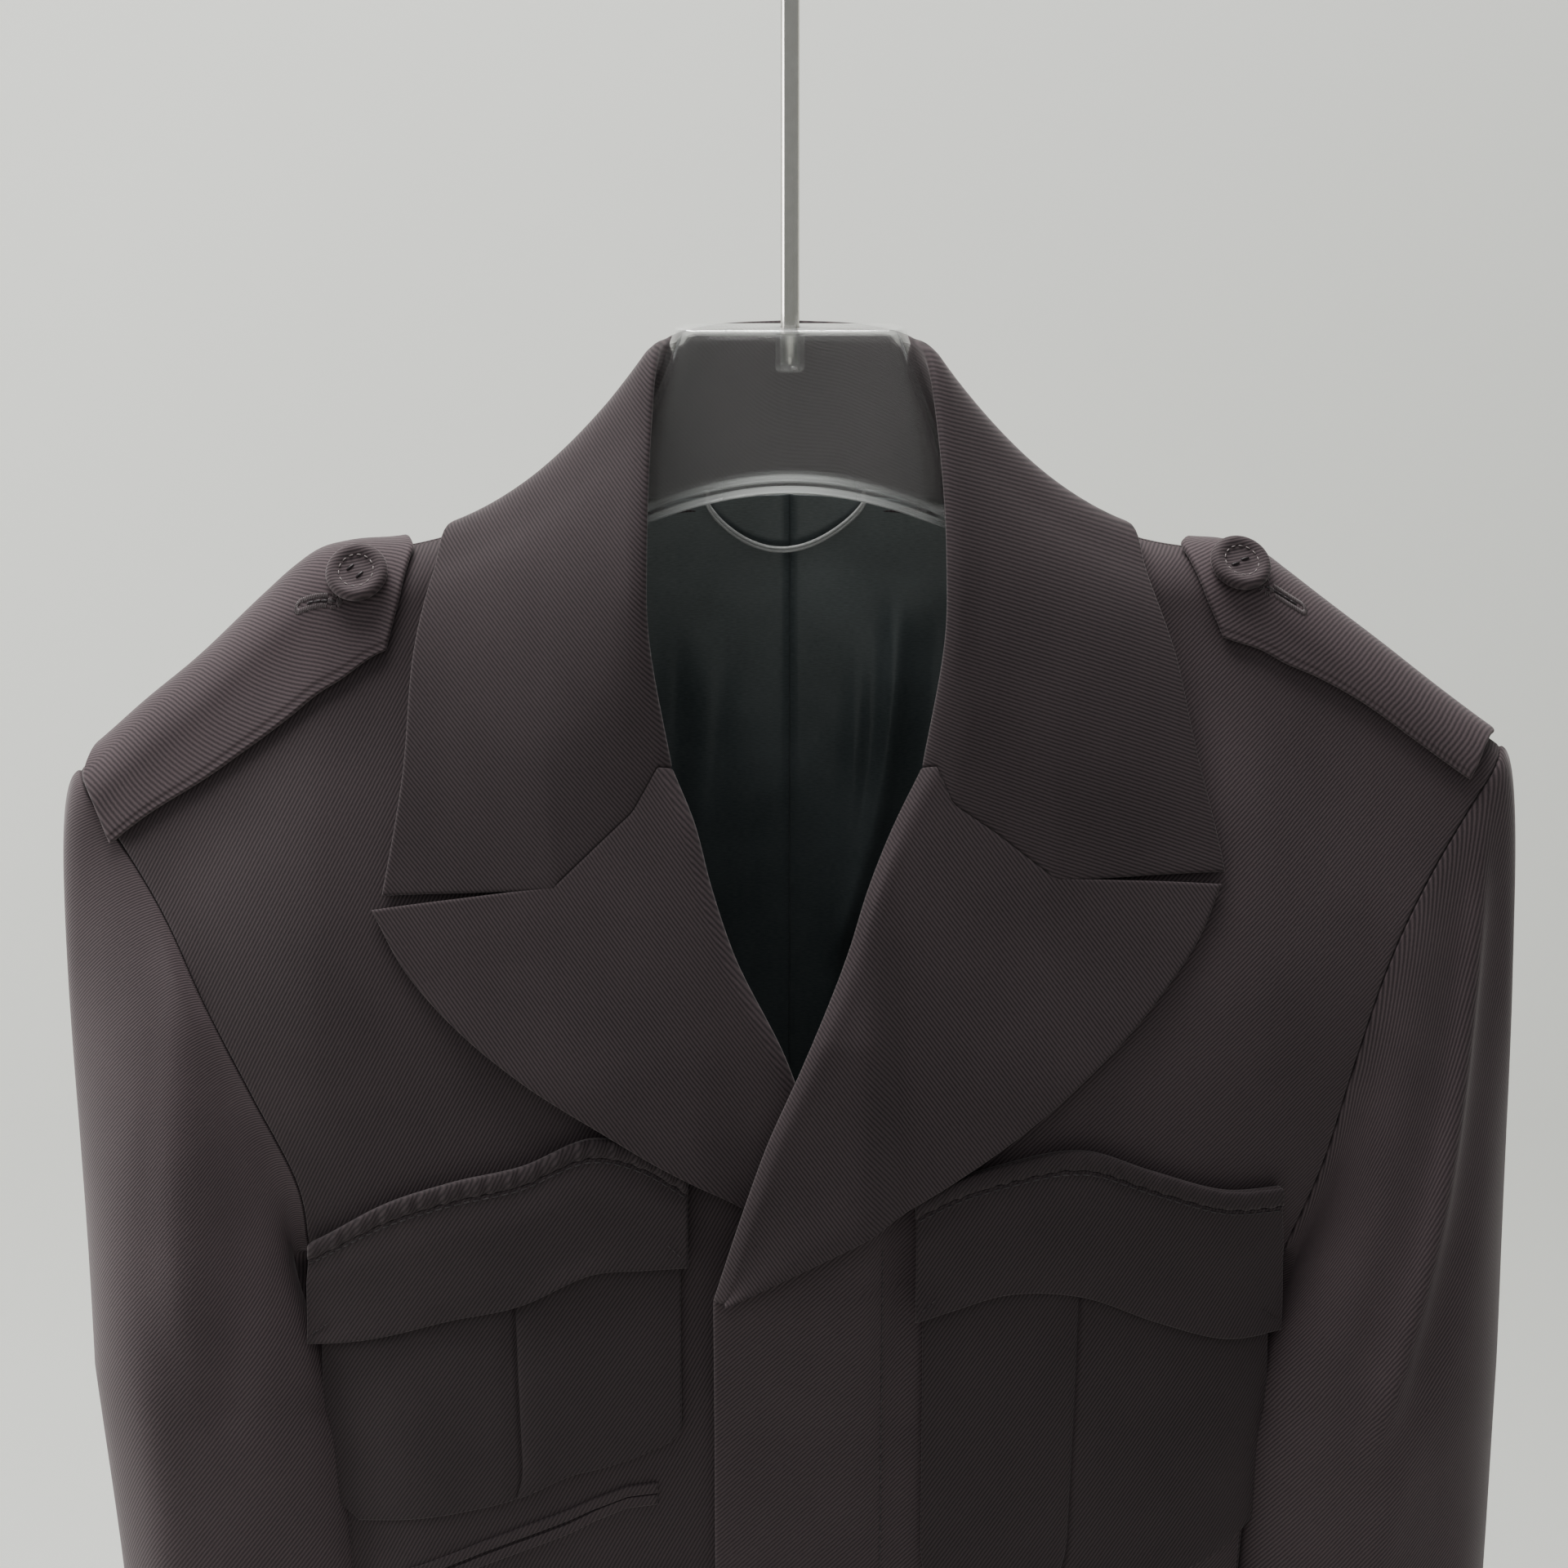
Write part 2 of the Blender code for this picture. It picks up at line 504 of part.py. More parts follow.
def lapel_grid(side):
    """A lapel: it leaves the front at the roll line, turns over and lies out to its peak and edge."""
    t = np.array([0, 0.07, 0.15, 0.24, 0.33, 0.42, 0.5, 0.58, 0.66, 0.74, 0.82, 0.89, 0.95, 1.0])
    column = 1 if side < 0 else 2
    roll_z = ROLL_TOP + (ROLL_BREAK + 2 - ROLL_TOP) * t
    roll_x = blend(ROLL, roll_z, column)
    rise = FOLD_RISE + (FOLD_RISE_BREAK - FOLD_RISE) * t
    foot_x = roll_x + side * (FOLD_NOSE - 2 * SEAM_TRIM)
    base = lap_lift(side, roll_x, roll_z)
    foot, foot_normal = at(foot_x, roll_z, -1, base)
    apex, _ = at(roll_x - side * 2.0, roll_z, -1, base + rise / 2)
    top_x = roll_x + side * 3.5
    top, _ = at(top_x, roll_z, -1, base + rise)
    turn = fold_turn(foot, apex, top, 6)
    edge = flowing(LAPEL_EDGE[side], t)
    gorge = np.concatenate([GORGE[side], [(1.0, *LAPEL_EDGE[side][0, 1:])]])
    leaf = []
    for share in LEAF_SHARES:
        straight = gorge[0, 1:] + (gorge[-1, 1:] - gorge[0, 1:]) * share
        bend = np.array([blend(gorge, share, 1), blend(gorge, share, 2)]) - straight
        fade = np.clip(1 - t / 0.5, 0, 1) ** 2
        x = top_x + (edge[:, 0] - top_x) * share + bend[0] * fade
        z = roll_z + (edge[:, 1] - roll_z) * share + bend[1] * fade
        spring = LEAF_SPRING * ease((t - 0.15) / 0.35) * (1 - 0.5 * ease((t - 0.8) / 0.2))
        if side < 0:
            spring = spring * ease((FLAT_FROM - x) / FLAT_RUN)
        own = rise + (LEAF_LIFT + spring - rise) * ease(share * 1.15)
        point, _ = at(x, z, -1, lap_lift(side, x, z) + own)
        leaf.append(point)
    grid = np.swapaxes(np.concatenate([turn, np.array(leaf)], axis=0), 0, 1)
    normal = grid_normals(grid)
    normal *= np.sign(-normal[5, -3, 1])
    normal[:, 0] = -foot_normal
    return grid, normal


def make_lapel(side, finish):
    grid, normal = lapel_grid(side)
    name = "lapel_left" if side > 0 else "lapel_right"
    return wall(name, trim(grid, (True, False), (False, False)), normal, COLLAR_CLOTH, finish)


def collar_stations(t):
    """Neck seam, fold and outer edge of the collar, from the right gorge (-1) to the left (1)."""
    side = np.where(t < 0, -1.0, 1.0)
    values = flowing(COLLAR, np.abs(t))
    shift = COLLAR_LEFT_SHIFT * np.where(t > 0, ease((np.abs(t) - 0.35) / 0.4), 0.0)
    values[:, 0] = side * (values[:, 0] + shift)
    values[:, 3] = side * (values[:, 3] + shift)
    values[:, 6] = side * values[:, 6]
    neck, _ = at(values[:, 0], values[:, 2], np.where(values[:, 1] > 0, 1, -1))
    return neck, values[:, 3:6], values[:, 6:9], values[:, 9]


def collar_grid():
    """The collar from the neck seam over the fold to the outer edge, round the neck from gorge to gorge."""
    half = np.array([0.0, 0.1, 0.2, 0.29, 0.36, 0.43, 0.5, 0.56, 0.62, 0.69, 0.76, 0.83, 0.9, 0.95, 1.0])
    t = np.concatenate([-half[:0:-1], half])
    neck, fold, edge, sag = collar_stations(t)
    rise = fold - neck
    neck = neck + rise / np.linalg.norm(rise, axis=1, keepdims=True) * COLLAR_START
    lower = []
    for share in (0.0, 0.28, 0.5, 0.72):
        lower.append(neck + (fold - neck) * share)
    fold_start = neck + (fold - neck) * 0.86
    leaf_start = fold + (edge - fold) * 0.08
    turn = list(fold_turn(fold_start, fold, leaf_start, 5))
    leaf = []
    for share in LEAF_SHARES:
        point = leaf_start + (edge - leaf_start) * share
        point[:, 2] -= sag * 4 * share * (1 - share)
        leaf.append(point)
    grid = np.swapaxes(np.array(lower + turn + leaf), 0, 1)
    end_normals = {}
    for side, last in ((-1, 0), (1, -1)):
        lapel, lapel_normal = lapel_grid(side)
        foot, second = lapel[0, 0], lapel[0, 1]
        tip_x, tip_z = COLLAR_POINT[side]
        gorge = np.concatenate([GORGE[side], [(1.0, tip_x, tip_z)]])
        row = [foot + (second - foot) * k for k in (0.0, 0.25, 0.5, 0.75)] + list(lapel[0, 1:])
        for k, share in enumerate(LEAF_SHARES):
            if share > GORGE[side][-1, 0]:
                own = FOLD_RISE + (LEAF_LIFT - FOLD_RISE) * ease(share * 1.15)
                row[9 + k], _ = at(blend(gorge, share, 1), blend(gorge, share, 2), -1, own)
        shape = np.array(row) - grid[last]
        grid += shape * ease((t * side - 0.62) / 0.38)[:, None, None]
        end_normals[last] = np.concatenate([np.repeat(lapel_normal[0, :1], 4, axis=0), lapel_normal[0, 1:]])
    normal = grid_normals(grid)
    normal *= np.sign(normal[len(t) // 2, -2, 1])
    for last, values in end_normals.items():
        normal[last] = values
    return grid, normal


def make_collar(finish):
    grid, normal = collar_grid()
    wall("collar", trim(grid, (True, True), (False, False)), normal, COLLAR_CLOTH, finish)


# Middle line of the shoulder tabs over the crest: distance from the middle, way over on the right and left
EPAULET_AXIS = np.array([(120, -6, -4), (222, -10, 0)], float)
EPAULET_HALF, EPAULET_CLOTH, EPAULET_LIFT, EPAULET_END = 27.0, 2.8, 3.9, 226.0
# Tip of each tab, length of its point and its button: distance from the middle, way over
EPAULET_TIP, EPAULET_POINT = {-1: 120.0, 1: 125.0}, {-1: 8.0, 1: 16.0}
BUTTON_PLACE, BUTTON_GAP = {-1: (-137.5, -9.0), 1: (142.5, -5.5)}, 0.1
# Half section of a covered button: radius, height
BUTTON_PROFILE = np.array([
    (0.0, 0.0), (7.5, 0.0), (9.3, 0.9), (10.0, 2.6), (9.2, 4.4), (7.9, 5.0), (6.6, 4.4), (5.8, 3.3),
    (0.0, 3.0)])


def make_epaulet(side, finish):
    """Shoulder tab: two layers of cloth with a pointed end towards the collar, over the crest."""
    across = np.linspace(-1, 1, 9)
    rows = np.array([0, 0.06, 0.12, 0.2, 0.29, 0.38, 0.48, 0.58, 0.7, 0.8, 0.9, 0.96, 1.0])
    start = EPAULET_TIP[side] + np.abs(across) * EPAULET_POINT[side]
    x = start + (EPAULET_END - start) * rows[:, None]
    along = blend(EPAULET_AXIS, x, 1 if side < 0 else 2) + across * EPAULET_HALF
    grid, normal = torso(side * x, along, np.full(x.shape, EPAULET_LIFT))
    name = "epaulet_left" if side > 0 else "epaulet_right"
    return wall(name, grid, normal, EPAULET_CLOTH, finish)


def make_button(side, finish):
    """Cloth-covered button: a turned disc with a thick round rim and a sunken middle."""
    x, along = BUTTON_PLACE[side]
    base, up = torso(x, along, EPAULET_LIFT + EPAULET_CLOTH / 2 + BUTTON_GAP)
    right = np.cross((0, 1, 0), up)
    right /= np.linalg.norm(right)
    ahead = np.cross(up, right)
    profile = BUTTON_PROFILE
    sides = 18
    points, faces = [base + up * profile[0][1]], []
    for radius, height in profile[1:-1]:
        for k in range(sides):
            angle = 2 * math.pi * k / sides
            points.append(base + up * height + radius * (math.cos(angle) * right + math.sin(angle) * ahead))
    points.append(base + up * profile[-1][1])
    rings = len(profile) - 2
    for k in range(sides):
        after = (k + 1) % sides
        faces.append((0, 1 + after, 1 + k))
        faces.append((len(points) - 1, 1 + (rings - 1) * sides + k, 1 + (rings - 1) * sides + after))
        for ring in range(rings - 1):
            low = 1 + ring * sides
            faces.append((low + k, low + after, low + sides + after, low + sides + k))
    name = "button_left" if side > 0 else "button_right"
    return add_solid(name, points, faces, finish)


# Breast pockets: share across from the inner edge, distance, top of the welt, foot of flap and pocket
POCKET = {
    -1: np.array([
        (0, -32, -257, -286.5, -340), (0.12, -46, -249, -287.5, -350), (0.25, -61, -246, -289, -353.5),
        (0.45, -85, -256, -301, -364), (0.65, -108, -262.5, -308, -372), (0.82, -130, -271.5, -316, -378),
        (1.0, -153, -287, -322, -382)], float),
    1: np.array([
        (0, 39.5, -265, -304.5, -376), (0.12, 52, -259, -300.5, -387), (0.25, 67, -254.5, -296.5, -390),
        (0.45, 92, -251, -298.5, -391), (0.65, 115, -259, -308.5, -391), (0.82, 137, -266.5, -317, -390),
        (1.0, 156, -267.5, -318, -380)], float)}
WELT_WIDTH, FLAP_TOP_GAP, POCKET_MOUTH = 6.0, 0.3, 14.0
POCKET_CLOTH, POCKET_LIFT, POCKET_SWELL, POCKET_INSET = 1.2, 2.2, 1.8, 2.5
FLAP_CLOTH, FLAP_LIFT, FLAP_SWELL = 1.4, 5.0, 1.2
# Section of a pocket's welt: share of its width from the top, height over the front
WELT_SECTION = np.array([(0.0, 1.9), (0.0, 4.0), (0.25, 6.0), (0.6, 6.2), (1.0, 4.8), (1.0, 1.9)])
# Mouth of the slanted pocket: distance, height; then half the mouth and lip, lift and thickness
SLIT = np.array([
    (-42.5, -364.5), (-52, -366), (-63, -371), (-71, -375.5), (-85, -382), (-99, -388.5), (-112, -395),
    (-124, -401)], float)
LIP_MIDDLE, LIP_HALF, LIP_LIFT, LIP_CLOTH = 2.4, 1.9, 2.5, 1.6


def on_front(side, x, z, lift):
    """Points at a lift over one front, its lap included, with their normals."""
    return at(x, z, -1, lap_lift(side, x, z) + lift)


def lofted(name, sections, finish):
    """A closed body through sections with the same count of points, its two ends filled."""
    count, sides = sections.shape[:2]
    faces = []
    for i in range(count - 1):
        for j in range(sides):
            a, b = i * sides + j, i * sides + (j + 1) % sides
            faces.append((a, b, b + sides, a + sides))
    faces.append(tuple(range(sides))[::-1])
    faces.append(tuple((count - 1) * sides + j for j in range(sides)))
    return add_solid(name, sections.reshape(-1, 3), faces, finish)


def make_pocket(side, finish):
    """Breast pocket: a raised body, a shaped flap over its mouth and a ridge along the flap's top."""
    mark = "left" if side > 0 else "right"
    share = np.linspace(0.0, 1.0, 11)
    x, welt, flap, low = flowing(POCKET[side], share).T
    down = np.linspace(0, 1, 8)[:, None]
    top = welt - WELT_WIDTH - POCKET_MOUTH
    z = top + (low - top) * down
    hump = np.sin(math.pi * np.clip(share, 0.02, 0.98)) * np.sin(math.pi * np.clip(down, 0.02, 0.98))
    body_x = x + side * POCKET_INSET * (1 - 2 * share) + 0 * z
    points, normal = on_front(side, body_x, z, POCKET_LIFT + POCKET_SWELL * hump ** 0.4)
    wall("pocket_body_" + mark, points, normal, POCKET_CLOTH, finish)
    down = np.linspace(0, 1, 5)[:, None]
    top = welt - WELT_WIDTH - FLAP_TOP_GAP
    z = top + (flap - top) * down
    points, normal = on_front(side, x + 0 * z, z, FLAP_LIFT + FLAP_SWELL * ease(down * 3) + 0 * z)
    wall("pocket_flap_" + mark, points, normal, FLAP_CLOTH, finish)
    across, height = WELT_SECTION[:, 0], WELT_SECTION[:, 1]
    z = welt[:, None] - across * WELT_WIDTH
    section, _ = on_front(side, x[:, None] + 0 * across, z, height + 0 * x[:, None])
    lofted("pocket_welt_" + mark, section, finish)


def make_slit(finish):
    """Slanted jetted pocket under the wearer's right breast pocket: two narrow lips along its mouth."""
    width = np.array([-LIP_HALF, 0.0, LIP_HALF])[:, None]
    for name, middle in (("jet_upper", LIP_MIDDLE), ("jet_lower", -LIP_MIDDLE)):
        points, normal = on_front(-1, SLIT[:, 0] + 0 * width, SLIT[:, 1] + middle + width, LIP_LIFT)
        wall(name, points, normal, LIP_CLOTH, finish)


# Lining of the back: nominal height, distance of its outer edge; its depth inside the cloth
LINING = np.array([
    (-796, 134), (-500, 132), (-330, 136), (-292, 140), (-240, 148), (-180, 166), (-66, 170)], float)
LINING_DEPTH, LINING_CLOTH, LINING_HEM, LINING_NECK = 3.8, 1.0, -794.0, -66.0
# How far under the crest the lining starts: at the middle, and what is added towards the shoulders
LINING_DROP, LINING_DROP_SIDE = 8.0, 8.0
# Hanger loop: distances of its ends, heights of ends and middle, depth inside the cloth, radius
LOOP_ENDS, LOOP_TOP, LOOP_LOW, LOOP_DEPTH, LOOP_RADIUS = (-28.8, 26.0), -66.0, -79.0, 7.2, 1.0


def make_lining(side, finish):
    """Half of the back's satin lining, from the centre seam outwards and from the neck to the hem."""
    up = np.concatenate([np.linspace(0, 0.7, 7), np.linspace(0.78, 1, 6)])[:, None]
    share = np.linspace(0, 1, 9)
    nominal = LINING_HEM + (LINING_NECK - LINING_HEM) * up
    x = side * (SEAM_TRIM + (blend(LINING, nominal, 1) - SEAM_TRIM) * share)
    top = crest(x) - LINING_DROP - LINING_DROP_SIDE * ease((np.abs(x) - 30) / 40)
    z = LINING_HEM + (top - LINING_HEM) * up
    grid, normal = at(x, z, 1, -LINING_DEPTH)
    return wall("lining_left" if side > 0 else "lining_right", grid, normal, LINING_CLOTH, finish)


def make_loop(finish):
    """Hanger loop: a fine satin roll that hangs in an arc from the neck seam."""
    share = np.linspace(0, 1, 17)
    x = LOOP_ENDS[0] + (LOOP_ENDS[1] - LOOP_ENDS[0]) * share
    z = LOOP_TOP + (LOOP_LOW - LOOP_TOP) * np.sin(math.pi * share) ** 0.7
    path, _ = at(x, z, 1, -LOOP_DEPTH)
    return rod_mesh("hanger_loop", path, LOOP_RADIUS, 8, finish)


# Half the hanger: distance, top, bottom, half thickness, roundness of the section (1 is an ellipse)
HANGER = np.array([
    (0, 0, -49.5, 14, 0.35), (20, 0, -50.5, 14, 0.35), (34, 0, -55, 12.5, 0.35), (36.5, -4, -57, 12, 0.35),
    (38.5, -18, -58.5, 12, 0.35), (41, -38, -60.5, 12.5, 0.35), (44, -56, -62, 12.5, 0.35),
    (50, -63, -68, 12, 0.5), (62, -63.5, -79, 11.5, 0.8), (85, -65.8, -95, 10.5, 1),
    (110, -70.2, -103, 9.5, 1), (135, -76.2, -109, 8.5, 1), (155, -84.3, -116, 8, 1),
    (175, -100.7, -130, 7, 1), (196, -118.7, -144, 6, 1)], float)
HANGER_SIDES = 10
ROD_RADIUS, HOLE_RADIUS, HOLE_DEPTH, ROD_GAP = 3.0, 3.3, 12.0, 0.3
# Hook: top of the straight rod, middle height and radius of the bend, angles where it starts and ends
STEM_TOP, HOOK_MIDDLE, HOOK_RADIUS, HOOK_FROM, HOOK_TO = 115.0, 156.0, 22.0, -50.0, 200.0


def make_hanger(clear, steel):
    """Clear hanger: a straight neck block under its top plate, two sloping arms, a socket for the rod."""
    rows = np.concatenate([HANGER[:0:-1] * (-1, 1, 1, 1, 1), HANGER])
    angle = 2 * math.pi * (np.arange(HANGER_SIDES) + 0.5) / HANGER_SIDES
    corner = rows[:, 4:5]
    wide = np.sign(np.cos(angle)) * np.abs(np.cos(angle)) ** corner
    tall = np.sign(np.sin(angle)) * np.abs(np.sin(angle)) ** corner
    middle, half = (rows[:, 1] + rows[:, 2]) / 2, (rows[:, 1] - rows[:, 2]) / 2
    y = rows[:, 3:4] * wide
    z = middle[:, None] + half[:, None] * tall
    body = lofted("hanger_body", np.stack([rows[:, 0:1] + 0 * y, y, z], axis=-1), clear)
    cutter = rod_mesh("socket_cutter", [(0, 0, -HOLE_DEPTH), (0, 0, HOLE_DEPTH)], HOLE_RADIUS, 16, clear)
    cutter.hide_render = True
    cutter.display_type = "WIRE"
    socket = body.modifiers.new("socket", "BOOLEAN")
    socket.operation = "DIFFERENCE"
    socket.object = cutter
    make_hook(steel)


def make_hook(finish):
    """Metal rod: straight up from the socket, swung aside into the hook's round bend and over its top."""
    start, end = math.radians(HOOK_FROM), math.radians(HOOK_TO)
    join = np.array([HOOK_RADIUS * math.cos(start), 0, HOOK_MIDDLE + HOOK_RADIUS * math.sin(start)])
    foot = np.array([0, 0, STEM_TOP])
    pull = 0.5 * np.linalg.norm(join - foot)
    t = np.linspace(0, 1, 7)[:-1, None]
    first, second = foot + (0, 0, pull), join - pull * np.array([-math.sin(start), 0, math.cos(start)])
    swing = (1 - t) ** 3 * foot + 3 * (1 - t) ** 2 * t * first + 3 * (1 - t) * t**2 * second + t**3 * join
    turn = np.linspace(start, end, 21)
    bend_z = HOOK_MIDDLE + HOOK_RADIUS * np.sin(turn)
    bend = np.stack([HOOK_RADIUS * np.cos(turn), 0 * turn, bend_z], axis=-1)
    path = np.concatenate([[(0, 0, ROD_GAP - HOLE_DEPTH), (0, 0, 50)], swing, bend])
    return rod_mesh("hook", path, ROD_RADIUS, 12, finish)


def build():
    clear_scene()
    twill = material("twill", (0.035, 0.026, 0.029), 0.75)
    satin = material("satin", (0.012, 0.015, 0.016), 0.4)
    clear = material("clear_acrylic", (0.8, 0.83, 0.82), 0.05)
    steel = material("polished_steel", (0.6, 0.59, 0.56), 0.2, 1.0)
    for side in (-1, 1):
        make_front(side, twill)
        make_back(side, twill)
        make_side(side, twill)
        make_sleeves(side, twill)
        make_lapel(side, twill)
        make_epaulet(side, twill)
        make_button(side, twill)
        make_pocket(side, twill)
        make_lining(side, satin)
    make_collar(twill)
    make_slit(twill)
    make_loop(satin)
    make_hanger(clear, steel)


build()
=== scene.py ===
import math

import bpy
import numpy as np
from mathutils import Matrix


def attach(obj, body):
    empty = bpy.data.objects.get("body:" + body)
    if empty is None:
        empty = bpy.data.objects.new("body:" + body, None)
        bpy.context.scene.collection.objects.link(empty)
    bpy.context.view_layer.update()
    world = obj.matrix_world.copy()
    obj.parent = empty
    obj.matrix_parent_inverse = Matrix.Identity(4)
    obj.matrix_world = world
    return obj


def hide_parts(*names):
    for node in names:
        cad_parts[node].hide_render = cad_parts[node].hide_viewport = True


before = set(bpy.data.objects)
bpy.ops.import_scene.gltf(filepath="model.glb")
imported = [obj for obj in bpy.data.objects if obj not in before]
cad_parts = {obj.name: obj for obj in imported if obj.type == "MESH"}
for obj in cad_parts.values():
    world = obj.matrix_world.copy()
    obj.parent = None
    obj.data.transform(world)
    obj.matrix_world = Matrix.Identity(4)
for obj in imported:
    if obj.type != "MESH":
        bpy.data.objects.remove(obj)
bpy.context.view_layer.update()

# Camera: a little above the collar, looking slightly down at the chest, as the photograph was taken.
# The image is 1920 x 1920 and 24 degrees wide.
PITCH, VIEW_WIDTH, SENSOR, REACH, AIM = math.radians(15), math.radians(24), 36, 1.211, (-0.0019, 0.0, -0.3255)


def new_object(name, data):
    """A new object in the scene."""
    made = bpy.data.objects.new(name, data)
    bpy.context.scene.collection.objects.link(made)
    return made


camera = new_object("camera", bpy.data.cameras.new("camera"))
camera.data.sensor_width, camera.data.lens = SENSOR, SENSOR / 2 / math.tan(VIEW_WIDTH / 2)
camera.location = (AIM[0], AIM[1] - REACH * math.cos(PITCH), AIM[2] + REACH * math.sin(PITCH))
camera.rotation_euler = (math.pi / 2 - PITCH, 0, 0)
bpy.context.scene.camera = camera

# Fronts: two panels of dark aubergine-brown wool twill, from the hem to the shoulder seam.
# The wearer's left one laps over the right. Heights are in millimetres from the hanger's top plate.
MM, PLATE, EDGE_REACH, SHEET_LEAST = 0.001, -175.0, 0.55, 0.01
CLOTH, HEM, ARMPIT, RIB = 2.0, -800.0, -292.0, 0.0011
SIDES, COLUMN = ((-1, "right"), (1, "left")), {-1: 1, 1: 2}
# Crest of the shoulders: distance from the middle, height on the wearer's right and left
RIDGE = np.array([
    (0, -58, -58), (62, -60, -60), (85, -63, -63), (105, -67, -67), (115, -70, -70), (125, -72, -71.8),
    (142, -73.6, -73.6), (150, -75.8, -76.4), (158, -81.4, -82.2), (167.5, -89.9, -89.5), (190, -111, -106.5),
    (208, -125.7, -120.5), (222, -138, -131), (232, -146.2, -138.2)], float)
# Depth of the body: drop from the crest, front, back
DEPTH = np.array([
    (0, 12, 12), (20, 18, 18), (50, 30, 28), (80, 44, 36), (120, 59, 44), (160, 69, 50), (240, 79, 58),
    (340, 82, 60), (440, 79, 57), (600, 84, 63), (800, 90, 70)], float)
CREST_ROUND, CREST_ARC, ROUND_POWER = 13.0, 20.0, 2.6
NECK_OFF, NECK_SPREAD, NECK_FADE = 24.0, 65.0, 80.0
# Height, and the half width at which the body's depth would come to nothing
ROUNDING = np.array([
    (-850, 190), (-500, 184), (-330, 188), (-292, 192), (-270, 210), (-240, 240), (-200, 290), (-60, 300)], float)
# Side seams: height, distance on the right and left
SIDE_SEAM = np.array([
    (-800, 146, 147), (-700, 144, 145), (-600, 142, 143), (-500, 141, 143), (-400, 144, 147),
    (-330, 148, 153), (-292, 155, 160)], float)
# Armholes: share from armpit to tip, height and distance on the right, the same on the left
ARMHOLE = np.array([
    (0, -292, 155, -292, 160), (0.2, -268, 158, -264, 171), (0.4, -240, 172, -229, 181),
    (0.6, -211, 188, -200, 191.5), (0.8, -184, 203, -176, 205), (1.0, -146, 232, -138, 232)], float)
# Roll lines: height, x of the right and left
ROLL = np.array([
    (-298, 24, -24), (-265, 13.5, -13.4), (-247, 7.5, -7), (-221, -1.5, 4.5), (-187, -18.4, 18.5),
    (-168, -24.9, 24.8), (-148, -30.5, 33.5), (-133, -37.1, 41.5)], float)
ROLL_TOP, ROLL_BREAK, FOLD_NOSE = -133.0, -298.0, 3.0
# Height, and the lift of the front that laps over
LAP_LIFT = np.array([(-850, 2.8), (-345, 2.8), (-300, 7.6), (-215, 7.6), (-190, 4), (-150, 0), (-60, 0)], float)
LAP_START, LAP_RUN, LAP_PAST = 36.0, 14.0, 24
# Half the collar: share, neck seam, fold and outer edge, sag of the leaf
COLLAR = np.array([
    (0.00, 0, 34, -64, 0, 32, 0.4, 0, 51, -84, 0),
    (0.20, 28, 32, -63.5, 24, 29.5, -0.8, 45, 49, -86, 1),
    (0.38, 52, 17, -62, 37.5, 12.5, -3, 87, 35, -83, 4),
    (0.50, 62, 0, -60, 41, -7, -6, 108, 1, -63.8, 7),
    (0.62, 62, -16, -72, 43, -24, -30, 113.5, -18, -76, 6),
    (0.75, 57, -31, -94, 44, -42, -62, 120, -33, -100, 3),
    (0.88, 49, -44, -114, 43, -52, -92, 124, -48, -134, 1),
    (1.00, 40.6, -54, -133, 36, -57, -131, 131, -59, -170, 0)], float)
COLLAR_SHIFT = 4.0
# Soft folds of the hanging cloth: face, top (x, z), foot (x, z), bow, half width, height
BODY_FOLDS = np.array([
    (-1, -128, -300, -120, -470, 5, 16, 1.6), (-1, 150, -290, 136, -480, -6, 14, 1.8),
    (-1, -95, -420, -104, -815, 8, 22, 3.2), (-1, -48, -450, -40, -815, -6, 18, -2.6),
    (-1, 62, -440, 70, -815, 6, 20, 3.0), (-1, 112, -400, 104, -815, -5, 16, -2.4),
    (-1, 12, -520, 8, -815, 4, 20, 1.8), (1, -110, -180, -92, -560, 12, 20, 2.6),
    (1, 104, -190, 92, -600, -10, 22, 2.8), (1, -40, -330, -52, -815, -6, 20, 2.6),
    (1, 48, -300, 40, -815, 7, 17, -2.4), (1, -118, -520, -112, -815, 5, 18, -2.6),
    (1, 116, -560, 122, -815, 4, 18, 2.4), (1, -60, -90, -120, -150, 4, 14, 1.2), (1, 62, -92, 124, -150, 4, 14, 1.2)])


def between(t, start, start_way, end, end_way):
    """A cubic from start to end that leaves and arrives in the ways given."""
    near = (2 * t**3 - 3 * t**2 + 1) * start + (t**3 - 2 * t**2 + t) * start_way
    return near + (3 * t**2 - 2 * t**3) * end + (t**3 - t**2) * end_way


def flowing(table, value):
    """Reads all columns of a table on a smooth curve through its rows, and straight on past its two ends."""
    value = np.asarray(value, float)
    keys, data = table[:, 0], table[:, 1:]
    slopes = np.gradient(data, keys, axis=0)
    inside = np.clip(value, keys[0], keys[-1])
    row = np.clip(np.searchsorted(keys, inside, side="right") - 1, 0, len(keys) - 2)
    step = (keys[row + 1] - keys[row])[..., None]
    t = (inside - keys[row])[..., None] / step
    past = (value - inside)[..., None] * np.where((value < keys[0])[..., None], slopes[0], slopes[-1])
    return between(t, data[row], step * slopes[row], data[row + 1], step * slopes[row + 1]) + past


def read(table, value, column):
    """One column of a table on its smooth curve."""
    return flowing(table, value)[..., column - 1]


def unit(vectors):
    """Vectors of length 1."""
    return vectors / np.maximum(np.linalg.norm(vectors, axis=-1, keepdims=True), 1e-9)


def arc_length(path):
    """Length along a path from its start to each of its points."""
    return np.concatenate([[0], np.cumsum(np.linalg.norm(np.diff(path, axis=0), axis=-1))])


def spread(path, run, place):
    """A path read straight between its points, at places on its run."""
    return np.stack([np.interp(place, run, column) for column in path.T], axis=-1)


def ease(value):
    """Goes smoothly from 0 to 1 as the value does, and stays there."""
    value = np.clip(value, 0.0, 1.0)
    return value * value * (3 - 2 * value)


